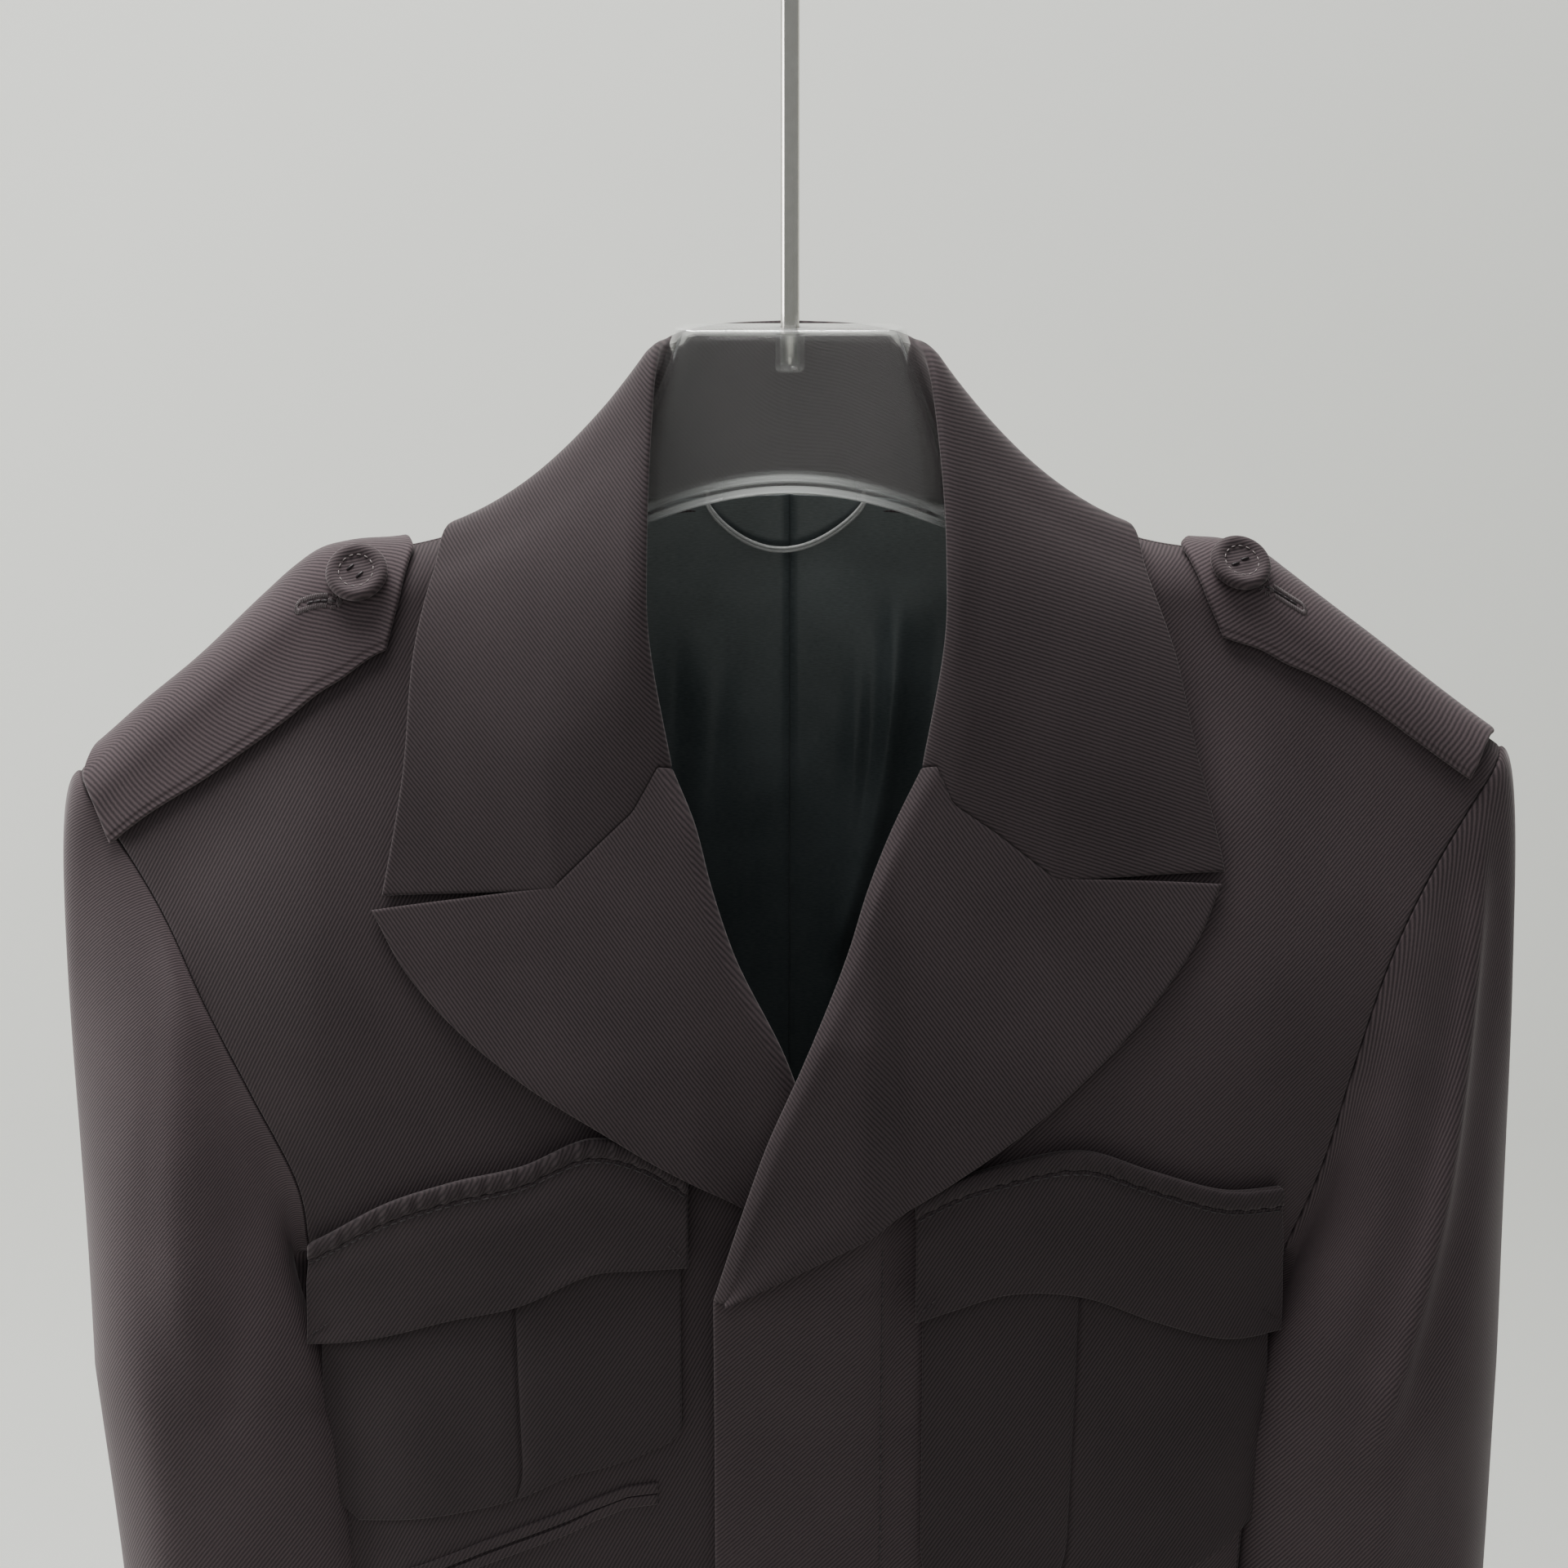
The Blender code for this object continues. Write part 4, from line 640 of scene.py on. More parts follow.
def lapel_grid(side):
    """A lapel: it leaves the front at the roll line, turns over and lies out to its peak and edge."""
    t = np.linspace(0, 1, 100)
    roll_z = ROLL_TOP + (ROLL_BREAK + 2 - ROLL_TOP) * t
    roll_x = read(ROLL, roll_z, COLUMN[side])
    rise = FOLD_RISE + (FOLD_RISE_BREAK - FOLD_RISE) * t
    base = lap_lift(side, roll_x, roll_z)
    foot, foot_normal = at(roll_x + side * (FOLD_NOSE - 0.4), roll_z, -1, base)
    apex, _ = at(roll_x - side * 2.0, roll_z, -1, base + rise / 2)
    top_x = roll_x + side * 3.5
    top, _ = at(top_x, roll_z, -1, base + rise)
    turn = fold_turn(foot, apex, top, TURN_COLUMNS)
    edge = flowing(LAPEL_EDGE[side], t)
    gorge = np.concatenate([GORGE[side], [(1.0, *LAPEL_EDGE[side][0, 1:])]])
    share = LEAF_SHARES[:, None]
    straight = gorge[0, 1:] + (gorge[-1, 1:] - gorge[0, 1:]) * share
    bend = spread(gorge[:, 1:], gorge[:, 0], LEAF_SHARES) - straight
    fade = np.clip(1 - t / 0.5, 0, 1) ** 2
    x = top_x + (edge[:, 0] - top_x) * share + bend[:, :1] * fade
    z = roll_z + (edge[:, 1] - roll_z) * share + bend[:, 1:] * fade
    spring = LEAF_SPRING * ease((t - 0.15) / 0.35) * (1 - 0.5 * ease((t - 0.8) / 0.2)) + 0 * x
    if side < 0:
        spring = spring * ease((FLAT_FROM - x) / FLAT_RUN)
    own = rise + (LEAF_LIFT + spring - rise) * ease(share * OPEN_WIDE)
    leaf, _ = at(x, z, -1, lap_lift(side, x, z) + own)
    grid = np.swapaxes(np.concatenate([turn, leaf], axis=0), 0, 1)
    normal = grid_normals(grid)
    normal *= np.sign(-normal[5, -3, 1])
    normal[:, 0] = -foot_normal
    return grid, normal


# The lapels' copy of the cloth is scaled a little darker, as painted shade.
lapel_twill = twill("lapel_twill", -52, 0.94)
for side, mark in SIDES:
    grid, normal = lapel_grid(side)
    cloth(mark + "_lapel", grid, normal, LAPEL_CLOTH, lapel_twill, "lapel_" + mark, grid[..., [0, 2]])

# Collar: one doubled band of twill, sewn in along the neck seam and to the lapels at the gorge.
# It stands at the back of the neck and falls over in a wide pointed leaf on each side.
COLLAR_START, WEAVE_TURN, STAND_END, LEAF_START = 3.5, -28.0, 0.86, 0.08


def collar_grid():
    """The collar from the neck seam over the fold to the outer edge, its ends shaped to the lapels' gorge."""
    half = np.linspace(0, 1, 66)
    t = np.concatenate([-half[:0:-1], half])
    neck, fold, edge, sag = collar_stations(t)
    rise = fold - neck
    neck = neck + unit(rise) * COLLAR_START
    inside = np.array([0.0, 0.28, 0.5, 0.72])[:, None, None]
    leaf_start = fold + (edge - fold) * LEAF_START
    turn = fold_turn(neck + (fold - neck) * STAND_END, fold, leaf_start, TURN_COLUMNS - 1)
    share = LEAF_SHARES[:, None, None]
    leaf = leaf_start + (edge - leaf_start) * share
    leaf[..., 2] -= sag * (4 * share * (1 - share))[..., 0]
    grid = np.swapaxes(np.concatenate([neck + (fold - neck) * inside, turn, leaf]), 0, 1)
    last_normals = {}
    for side, last in ((-1, 0), (1, -1)):
        lapel, lapel_normal = lapel_grid(side)
        foot, second = lapel[0, 0], lapel[0, 1]
        row = np.concatenate([foot + (second - foot) * np.array([0, 0.25, 0.5, 0.75])[:, None], lapel[0, 1:]])
        gorge = np.concatenate([GORGE[side], [(1.0, *COLLAR_POINT[side])]])
        own = FOLD_RISE + (LEAF_LIFT - FOLD_RISE) * ease(LEAF_SHARES * OPEN_WIDE)
        point, _ = at(*spread(gorge[:, 1:], gorge[:, 0], LEAF_SHARES).T, -1, own)
        past = LEAF_SHARES > GORGE[side][-1, 0]
        row[len(row) - len(LEAF_SHARES):][past] = point[past]
        grid += (row - grid[last]) * ease((t * side - 0.62) / 0.38)[:, None, None]
        last_normals[last] = np.concatenate([np.repeat(lapel_normal[0, :1], 4, axis=0), lapel_normal[0, 1:]])
    normal = grid_normals(grid)
    normal *= np.sign(normal[len(t) // 2, -2, 1])
    for last, values in last_normals.items():
        normal[last] = values
    return grid, normal


# The collar's copy of the cloth is scaled darker, as painted shade.
collar_twill = twill("collar_twill", -48, 0.88)
grid, normal = collar_grid()
turn = math.radians(WEAVE_TURN) * ease((grid[..., 0] + 20) / 40)
weave = np.stack([grid[..., 0] * np.cos(turn) - grid[..., 2] * np.sin(turn),
                  grid[..., 0] * np.sin(turn) + grid[..., 2] * np.cos(turn)], axis=-1)
cloth("wide_collar", grid, normal, LAPEL_CLOTH, collar_twill, "collar", weave)

# Epaulets: pointed tabs of doubled twill over each shoulder, pressed thin along their edges.
# They are caught in the armhole seam and buttoned at the point.
# Middle line: distance, way over the crest on the right and left
EPAULET_AXIS = np.array([(120, -6, -4), (222, -10, 0)], float)
EPAULET_HALF, EPAULET_CLOTH, EPAULET_LIFT, EPAULET_OUT, EDGE_STEP = 27.0, 2.6, 3.1, 228.5, 0.32
# How much further the front half reaches over the crest, so that its edge runs straight: distance, right, left
EPAULET_PUSH = np.array([
    (118, 0, 0), (132, -3.5, 0), (143, -9.5, -2), (157, -12.5, -1.5), (168, -11, 1.5), (180, -8, 3.5), (200, -3, 4),
    (222, 0, 4), (230, 0, 4)], float)
EPAULET_TIP, EPAULET_POINT, EPAULET_SLANT = {-1: 120.0, 1: 125.0}, {-1: 8.5, 1: 13.0}, 9.0
# The tabs' copies of the cloth are scaled much lighter, as painted light falling from above on the shoulders.
tab_twill = {-1: twill("right_tab_twill", -37, 1.52), 1: twill("left_tab_twill", 37, 1.6)}
for side, mark in SIDES:
    across = np.concatenate([np.linspace(-1, -0.88, 9)[:-1], np.linspace(-0.88, 0.88, 34), np.linspace(0.88, 1, 9)[1:]])
    rows = np.linspace(0, 1, 70)
    start = EPAULET_TIP[side] + np.abs(across) * EPAULET_POINT[side]
    x = start + (EPAULET_OUT - EPAULET_SLANT * np.abs(across) - start) * rows[:, None]
    along = read(EPAULET_AXIS, x, COLUMN[side]) + across * EPAULET_HALF
    along = along + read(EPAULET_PUSH, x, COLUMN[side]) * np.maximum(-across, 0)
    step = EDGE_STEP * ease((np.abs(across) - 0.9) / 0.03)
    grid, normal = torso(side * x, along, EPAULET_LIFT - step + 0 * x)
    weave = arcs(np.swapaxes(grid, 0, 1)).swapaxes(0, 1) * (side, 1)
    cloth(mark + "_epaulet", grid, normal, EPAULET_CLOTH, tab_twill[side], "epaulet_" + mark, weave)

# Buttons: 20 mm moulds covered in the twill, with a thick rounded rim and a sunken middle.
# They are sewn on through the tab.
# Place: distance and way over the crest. Profile: radius, height
BUTTON_PLACE, BUTTON_LIFT = {-1: (-137.5, -14.0), 1: (142.5, -11.0)}, EPAULET_LIFT + EPAULET_CLOTH / 2 - 0.2
BUTTON_PROFILE = np.array([
    (0.0, 0.0), (7.5, 0.0), (9.3, 0.9), (10.0, 2.6), (9.3, 4.2), (8.0, 4.8), (6.6, 4.5), (5.3, 3.7), (0.0, 3.3)])
# The buttons' copies of the cloth are scaled lighter, as painted light.
button_twill = {-1: twill("right_button_twill", 6, 1.25), 1: twill("left_button_twill", 32, 1.15)}


def spokes(count, right, ahead, lead=0.0):
    """Unit directions evenly round, from the right towards ahead."""
    angle = 2 * math.pi * np.arange(count) / count + lead
    return np.cos(angle)[:, None] * right[..., None, :] + np.sin(angle)[:, None] * ahead[..., None, :]


def level_ways(up):
    """Two directions square to an upward one: to the right and ahead."""
    right = unit(np.cross((0, 1, 0), up))
    return right, np.cross(up, right)


def turned(profile, base, up, sides):
    """A turned body: a profile of radius and height carried round an axis, its two ends closed at the axis."""
    radius, height = profile[1:-1, :, None, None].transpose(1, 0, 2, 3)
    points = base + height * up + radius * spokes(sides, *level_ways(up))
    points = np.concatenate([points.reshape(-1, 3), base + np.outer(profile[[0, -1], 1], up)])
    j, foot = np.arange(sides), (len(profile) - 2) * sides
    after, last = (j + 1) % sides, foot - sides
    caps = [(foot, a, b) for a, b in zip(after, j)] + [(foot + 1, c, d) for c, d in zip(j + last, after + last)]
    return points, quads(len(profile) - 2, sides, True).tolist() + np.array(caps).tolist()


def finer(profile, times):
    """A profile read on a smooth curve through its points, with more points."""
    length = arc_length(profile)
    return flowing(np.column_stack([length, profile]), np.linspace(0, length[-1], times))


for side, mark in SIDES:
    base, up = torso(*BUTTON_PLACE[side], BUTTON_LIFT)
    points, faces = turned(finer(BUTTON_PROFILE, 40), base, up, 64)
    weave = (points - base) @ np.stack(level_ways(up), axis=-1)
    mesh_piece(mark + "_button", points, faces, button_twill[side], "twill", "button_" + mark, weave)

# Buttonholes and button threads: keyholes cut in the tabs and worked close with dark thread,
# and the threads that hold the buttons and run round their rims.
# Buttonhole: distance and way over the crest of its two ends
BUTTONHOLE = {-1: ((-144.0, -19.5), (-155.0, -17.0)), 1: ((150.0, -14.0), (162.0, -12.5))}
HOLE_HALF, PURL, PURL_RADIUS, BOW = 0.5, 1.3, 0.2, 0.12
BUTTON_RING, RING_STITCHES, RING_LEAD, RING_HEIGHT = 5.6, 14, 0.13, 3.95


def thread_finish(name, colour, gloss):
    """Spun thread: a fine twist in its tone along the stitch, smooth and a little glossy."""
    thread = Finish(name, Roughness=gloss)
    thread.tint(thread.grain(3000.0), 0.6 * np.array(colour), 1.4 * np.array(colour))
    return thread.material


def capped(rows, sides):
    """Faces of a bar: a closed grid of points and a face over each of its ends."""
    ends = [tuple(range(sides))[::-1], tuple(range((rows - 1) * sides, rows * sides))]
    return quads(rows, sides, True).tolist() + ends


def joined(parts):
    """Several meshes as one: points stacked, faces moved on by the points before them."""
    points, faces, start = [], [], 0
    for part_points, part_faces in parts:
        points.append(part_points)
        faces += [tuple(k + start for k in face) for face in part_faces]
        start += len(part_points)
    return np.concatenate(points), faces


def ring_round(way, up, sides):
    """Unit spokes square to each direction of a list, turned from an upward way."""
    beside = unit(np.cross(way, up))
    return spokes(sides, beside, np.cross(beside, way))


def threads(starts, ends, up, radius, rise):
    """Short stitches: six-sided bars from each start to each end, thin at both ends and bowed up by a rise."""
    t, full = np.array([0.0, 0.12, 0.5, 0.88, 1.0]), np.array([0.35, 0.9, 1.0, 0.9, 0.35])
    ring = ring_round(unit(ends - starts), up, 6)
    middle = starts[:, None] + (ends - starts)[:, None] * t[None, :, None]
    middle = middle + up[:, None] * (rise * np.sin(math.pi * t))[None, :, None]
    points = middle[:, :, None] + radius * full[None, :, None, None] * ring[:, None]
    return joined([(bar, capped(len(t), 6)) for bar in points.reshape(len(starts), -1, 3)])


def seam_stitches(path, up, length, gap, radius):
    """Running stitches along a path of points with normals: a stitch of one length, then a gap, by arc length."""
    run = arc_length(path)
    first = np.arange(gap, run[-1] - length, length + gap)
    start, end, over = spread(path, run, first), spread(path, run, first + length), spread(up, run, first)
    return threads(start, end, over, radius, BOW)


def sew(name, parts, finish):
    """One piece from lists of stitches, riding on the garment."""
    mesh_piece(name, *joined(parts), finish, "twill")


dark_thread = thread_finish("dark_thread", (0.02, 0.014, 0.017), 0.5)
purl_thread = thread_finish("purl_thread", (0.075, 0.058, 0.062), 0.45)
pale_thread = thread_finish("pale_thread", (0.2, 0.17, 0.17), 0.5)
for side, mark in SIDES:
    ends = np.array(BUTTONHOLE[side])
    slot_way = unit(ends[1] - ends[0])
    beside = np.array([-slot_way[1], slot_way[0]])
    turn = np.linspace(0, math.pi, 12)[1:-1]
    length = np.linalg.norm(ends[1] - ends[0])
    straight = np.linspace(0, length, int(length / 0.42))
    eye = 0.5 * bell((straight - 1.2) / 1.2)
    down = np.stack([straight, HOLE_HALF + eye], axis=-1)
    cap = np.stack([length + 0.5 * np.sin(turn), HOLE_HALF * np.cos(turn)], axis=-1)
    back = np.stack([-0.6 * np.sin(turn), -1.0 * np.cos(turn)], axis=-1)
    outline = np.concatenate([down, cap, down[::-1] * (1, -1), back])
    outward = np.roll(outline, -1, axis=0) - np.roll(outline, 1, axis=0)
    outward = outward[:, ::-1] * (-1, 1)
    outward = unit(outward) * np.sign(np.sum(outward * (outline - (length / 2, 0)), axis=1, keepdims=True))
    far = outline + outward * PURL

    def on_tab(flat):
        spot = ends[0] + flat[:, :1] * slot_way + flat[:, 1:] * beside
        return torso(spot[:, 0], spot[:, 1], np.full(len(spot), EPAULET_LIFT + EPAULET_CLOTH / 2 + 0.05))

    inner, up = on_tab(outline)
    outer, _ = on_tab(far)
    slot_line = np.stack([np.linspace(0.4, length - 0.4, 14), np.zeros(14)], axis=-1)
    middle, middle_up = on_tab(slot_line)
    sew(mark + "_buttonhole", [threads(inner, outer, up, PURL_RADIUS, 0.22)], purl_thread)
    # A near-unbroken bar of dark thread along the middle of the slit stands in for the shade in the cut: painted shade.
    sew(mark + "_buttonhole_slit_shade", [seam_stitches(middle, middle_up, 2.4, 0.02, 0.42)], dark_thread)
    base, up = torso(*BUTTON_PLACE[side], BUTTON_LIFT)
    right, ahead = level_ways(up)
    ring = [spokes(RING_STITCHES, right, ahead, lead) for lead in (-RING_LEAD, RING_LEAD)]
    start, end = (base + spoke * BUTTON_RING + up * RING_HEIGHT for spoke in ring)
    sew(mark + "_button_ring", [threads(start, end, np.repeat(up[None], len(start), axis=0), 0.2, BOW)], pale_thread)
    marks = np.array([(1.0, 1.4), (-1.8, -1.6)]) * (1, side)
    middle = base + marks[:, :1] * right + marks[:, 1:] * ahead + up * 3.4
    slant = (right * 0.8 + ahead * 0.6) * 1.5
    sew(mark + "_button_thread", [threads(middle - slant, middle + slant, np.repeat(up[None], 2, axis=0), 0.42, 0.2)],
        dark_thread)

# Placket stitching: one row of dark topstitching down the wearer's left front.
# It goes through the front and the hidden buttonhole strip behind it.
# Stitches: length, gap, thread's radius
PLACKET_X, PLACKET_TOP, PLACKET_STITCH = 29.0, -280.0, (2.6, 0.9, 0.22)
height = np.linspace(PLACKET_TOP, HEM + 12, 400)
line = PLACKET_X + 0 * height
path, up = at(line, height, -1, lap_lift(1, line, height) + CLOTH / 2 + 0.05)
sew("placket_stitches", [seam_stitches(path, up, *PLACKET_STITCH)], dark_thread)

# Breast pockets: a patch of twill with a pressed crease down its middle, a shaped flap over its mouth,
# and a puckered roll of cloth along the flap's top. They are stitched down on the front.
# Pocket outline: share, x, top of the welt, foot of the flap, foot of the body
POCKET = {
    -1: np.array([
        (0, -32, -257, -286.5, -351.5), (0.12, -46, -249, -287.5, -355.3), (0.25, -61, -246, -289, -358.7),
        (0.45, -85, -256, -301, -367.3), (0.65, -108, -262.5, -308, -373.5), (0.82, -130, -271.5, -316, -378),
        (1.0, -153, -287, -322, -382)], float),
    1: np.array([
        (0, 39.5, -265, -304.5, -396), (0.12, 52, -259, -300.5, -400), (0.25, 67, -254.5, -296.5, -401),
        (0.45, 92, -251, -298.5, -401), (0.65, 115, -259, -308.5, -400), (0.82, 137, -266.5, -317, -398),
        (1.0, 156, -267.5, -318, -390)], float)}
WELT_WIDTH, FLAP_TOP_GAP, POCKET_MOUTH = 6.0, 0.3, 14.0
POCKET_CLOTH, POCKET_LIFT, POCKET_SWELL, POCKET_INSET = 1.2, 2.2, 1.8, 2.5
FLAP_CLOTH, FLAP_LIFT, FLAP_SWELL = 1.4, 5.0, 1.2
# Welt section: share of its width, height over the front
WELT_SECTION = np.array([(0.0, 1.9), (0.0, 4.0), (0.25, 6.0), (0.6, 6.2), (1.0, 4.8), (1.0, 1.9)])
POCKET_MIDDLE, PLEAT_SLANT = {-1: 0.475, 1: 0.453}, {-1: 2.5, 1: 3.6}
POCKET_CORNER, CORNER_FROM = {-1: (0.14, 0.1), 1: (0.02, 0.12)}, 0.82
CREASE, CREASE_HALF, DIP, DIP_HALF, PLEAT_HALF = 1.1, 0.0055, 0.5, 0.03, 0.2
FLAP_STITCH, BAR_STITCH = (2.3, 0.9, 0.26), (1.5, 0.5, 0.2)
# The pockets' copy of the cloth is scaled darker, as painted shade on the lower chest.
pocket_twill = twill("pocket_twill", 56, 0.78)


def on_front(side, x, z, lift):
    """Points at a lift over one front, its lap included, with their normals."""
    return at(x, z, -1, lap_lift(side, x, z) + lift)


for side, mark in SIDES:
    middle = POCKET_MIDDLE[side]
    near = middle + np.array([-0.014, -0.008, -0.004, 0, 0.004, 0.008, 0.014])
    share = np.unique(np.concatenate([np.linspace(0, 1, 50), near]))
    x, welt, flap, low = flowing(POCKET[side], share).T
    down = np.linspace(0, 1, 46)[:, None]
    top = welt - WELT_WIDTH - POCKET_MOUTH
    inner, outer = POCKET_CORNER[side]
    rounded = 1 - np.sqrt(1 - ease((down - CORNER_FROM) / (1 - CORNER_FROM)) ** 2 * 0.98)
    placed = inner * rounded + (1 - inner * rounded - outer * rounded) * share
    body_x = flowing(POCKET[side], placed)[..., 0] + side * POCKET_INSET * (1 - 2 * share)
    body_x = body_x - side * PLEAT_SLANT[side] * down * bell((share - middle) / PLEAT_HALF)
    z = top + (low - top) * down
    hump = np.sin(math.pi * np.clip(share, 0.02, 0.98)) * np.sin(math.pi * np.clip(down, 0.02, 0.98))
    groove = CREASE * bell((share - middle) / CREASE_HALF) + DIP * bell((share - middle) / DIP_HALF)
    points, normal = on_front(side, body_x, z, POCKET_LIFT + POCKET_SWELL * hump**0.4 - groove)
    cloth(mark + "_pocket_body", points, normal, POCKET_CLOTH, pocket_twill, "pocket_body_" + mark, upright(points))
    share = np.linspace(0, 1, 60)
    x, welt, flap, low = flowing(POCKET[side], share).T
    down = np.linspace(0, 1, 24)[:, None]
    top = welt - WELT_WIDTH - FLAP_TOP_GAP + 0.8
    z = top + (flap - top) * down
    swell = FLAP_SWELL * ease(down * 3) + 0.5 * ease((down - 0.8) * 5) * np.sin(share * 9 + side)
    points, normal = on_front(side, x + 0 * z, z, FLAP_LIFT + swell)
    cloth(mark + "_pocket_flap", points, normal, FLAP_CLOTH, pocket_twill, "pocket_flap_" + mark, upright(points))
    share = np.linspace(0, 1, 150)
    x, welt, flap, low = flowing(POCKET[side], share).T
    section = finer(WELT_SECTION, 22)
    across, height = section[:, 0], section[:, 1]
    run = share * abs(x[-1] - x[0])
    pucker = 0.24 * np.sin(run * 0.92 + 1.3 * np.sin(run * 0.21)) + 0.16 * np.sin(run * 1.71 + side)
    puff = (height - 1.9) / 4.3 * pucker[:, None]
    lower = 0.25 * np.sin(run * 1.3)[:, None] * ease(across * 2 - 1)
    points, _ = on_front(side, x[:, None] + 0 * across, welt[:, None] - across * WELT_WIDTH - lower, height + puff)
    mesh_piece(mark + "_pocket_roll", points.reshape(-1, 3), capped(*points.shape[:2]), pocket_twill, "twill",
               "pocket_welt_" + mark, upright(points).reshape(-1, 2))
    under = welt - WELT_WIDTH - 0.8
    path, up = on_front(side, x, under, FLAP_LIFT + FLAP_CLOTH / 2 + 0.1)
    parts = [seam_stitches(path, up, *FLAP_STITCH)]
    for end, way in ((0, 1), (-1, -1)):
        corner_x = x[end] + side * way * np.array([1.6, 7.0])
        corner_z = flap[end] + np.array([3.6, 8.6])
        row_x, row_z = np.linspace(*corner_x, 12), np.linspace(*corner_z, 12)
        path, up = on_front(side, row_x, row_z, FLAP_LIFT + FLAP_SWELL + FLAP_CLOTH / 2 + 0.25 + 0 * row_x)
        parts.append(seam_stitches(path, up, *BAR_STITCH))
    sew(mark + "_pocket_stitches", parts, dark_thread)

# Slanted pocket: a mouth cut into the front under the wearer's right breast pocket.
# It lies between two narrow piped lips of twill, sewn in along the cut.
# Line of the mouth: x, height
SLIT = np.array([
    (-42.5, -364.5), (-52, -366), (-63, -371), (-71, -375.5), (-85, -382), (-99, -388.5), (-112, -395),
    (-124, -401)], float)
LIP_MIDDLE, LIP_HALF, LIP_LIFT, LIP_CLOTH, LIP_CLOSED = 2.4, 1.9, 1.15, 1.6, 0.18
for name, node, middle in (("upper_lip", "jet_upper", LIP_MIDDLE), ("lower_lip", "jet_lower", -LIP_MIDDLE)):
    x = np.linspace(SLIT[0, 0], SLIT[-1, 0], 60)
    z = np.interp(-x, -SLIT[:, 0], SLIT[:, 1])
    width = np.linspace(-LIP_HALF, LIP_HALF, 7)[:, None]
    middle = middle * (1 - LIP_CLOSED * ease((x + 74) / 18))
    points, normal = on_front(-1, x + 0 * width, z + middle + width, LIP_LIFT)
    cloth(name, points, normal, LIP_CLOTH, body_twill, node, upright(points))

# Lining: dark green-black satin inside the back, in two halves seamed down the middle.
# It hangs from the neck seam, a little loose, so that it falls in folds.
# Height and half width, then folds: top (x, z), foot (x, z), bow, half width, height
LINING = np.array([(-796, 134), (-500, 132), (-330, 136), (-292, 140), (-240, 148), (-180, 166), (-66, 170)], float)
LINING_DEPTH, LINING_CLOTH, LINING_HEM, LINING_NECK = 3.8, 1.0, -794.0, -66.0
LINING_DROP, LINING_DROP_SIDE, LINING_RISE, BEND_DROP, FORWARD = 8.0, 8.0, 7.4, 26.0, 0.24
LINING_FOLDS = np.array([
    (36, -84, 12, -235, 8, 4, 3.6), (50, -84, 30, -210, 6, 5, -1.4), (24, -100, 4, -300, 5, 4, 2.2),
    (-22, -90, -34, -330, -4, 7, 2.2), (-40, -86, -46, -260, 3, 5, -1.4), (-12, -130, -14, -400, -3, 5, -1.5),
    (44, -170, 26, -420, 6, 8, 2.6), (70, -100, 64, -420, 5, 9, 2.4), (-70, -100, -64, -460, -6, 9, 2.4),
    (20, -420, 26, -790, 5, 10, 2.4), (-30, -400, -24, -790, 5, 10, 2.4), (84, -430, 90, -790, 5, 12, 2.4)])


def satin(name, low, high, gloss):
    """Satin: fine weft ribs and a little cloud in its tone, smooth and half glossy."""
    silk = Finish(name, Roughness=gloss, Sheen_Weight=0.08)
    weave = silk.add("UVMap", uv_map="weave")
    ribs = silk.add("TexNoise", "Fac", Vector=silk.add("Mapping", Vector=weave, Scale=(500, 2400, 1)), Scale=1.0)
    clouds = silk.add("TexNoise", "Fac", Vector=weave, Scale=22.0, Detail=4.0)
    silk.tint(silk.mix(0.4, clouds, ribs), low, high, 0.3, 0.7)
    silk.bump(ribs, 0.25, 0.0001)
    return silk.material


def inside_back(x, z, depth):
    """Points inside the back at a depth. Near the neck seam they go straight up and a little forwards."""
    low = np.minimum(z, crest(x) - BEND_DROP)
    points, normal = at(x, low, 1, -depth)
    points[..., 2] += z - low
    points[..., 1] -= FORWARD * (z - low)
    return points, normal


lining_satin = satin("lining_satin", (0.037, 0.047, 0.049), (0.108, 0.126, 0.131), 0.38)
for side, mark in SIDES:
    up = np.concatenate([np.linspace(0, 0.62, 70), np.linspace(0.63, 1, 110)])[:, None]
    share = np.linspace(0, 1, 90) ** 1.15
    nominal = LINING_HEM + (LINING_NECK - LINING_HEM) * up
    x = side * read(LINING, nominal, 1) * share
    top = crest(x) - LINING_DROP - LINING_DROP_SIDE * ease((np.abs(x) - 30) / 40)
    top = top + LINING_RISE * ease((66 - np.abs(x)) / 14)
    z = LINING_HEM + (top - LINING_HEM) * up
    fold = soft_folds(LINING_FOLDS, x, z) * ease((-72 - z) / 12)
    seam = 0.8 * bell(x / 1.3)
    grid, normal = inside_back(x, z, LINING_DEPTH + np.clip(fold, -1.4, 5) - seam)
    cloth(mark + "_lining", grid, normal, LINING_CLOTH, lining_satin, "lining_" + mark, upright(grid),
          slot="satin")

# Hanger loop: a doubled roll of grey satin.
# It is sewn in at the neck seam at both ends and hangs in an arc.
LOOP_ENDS, LOOP_TOP, LOOP_LOW, LOOP_DEPTH, LOOP_RADIUS = (-28.8, 26.0), -58.8, -77.0, 7.2, 0.62


def tube(path, radius, sides, up):
    """A round bar along a path: rings square to the path's direction, turned from one fixed upward way."""
    ring = ring_round(unit(np.gradient(path, axis=0)), up, sides)
    points = path[:, None] + np.broadcast_to(radius, (len(path),))[:, None, None] * ring
    return points.reshape(-1, 3), capped(len(path), sides)


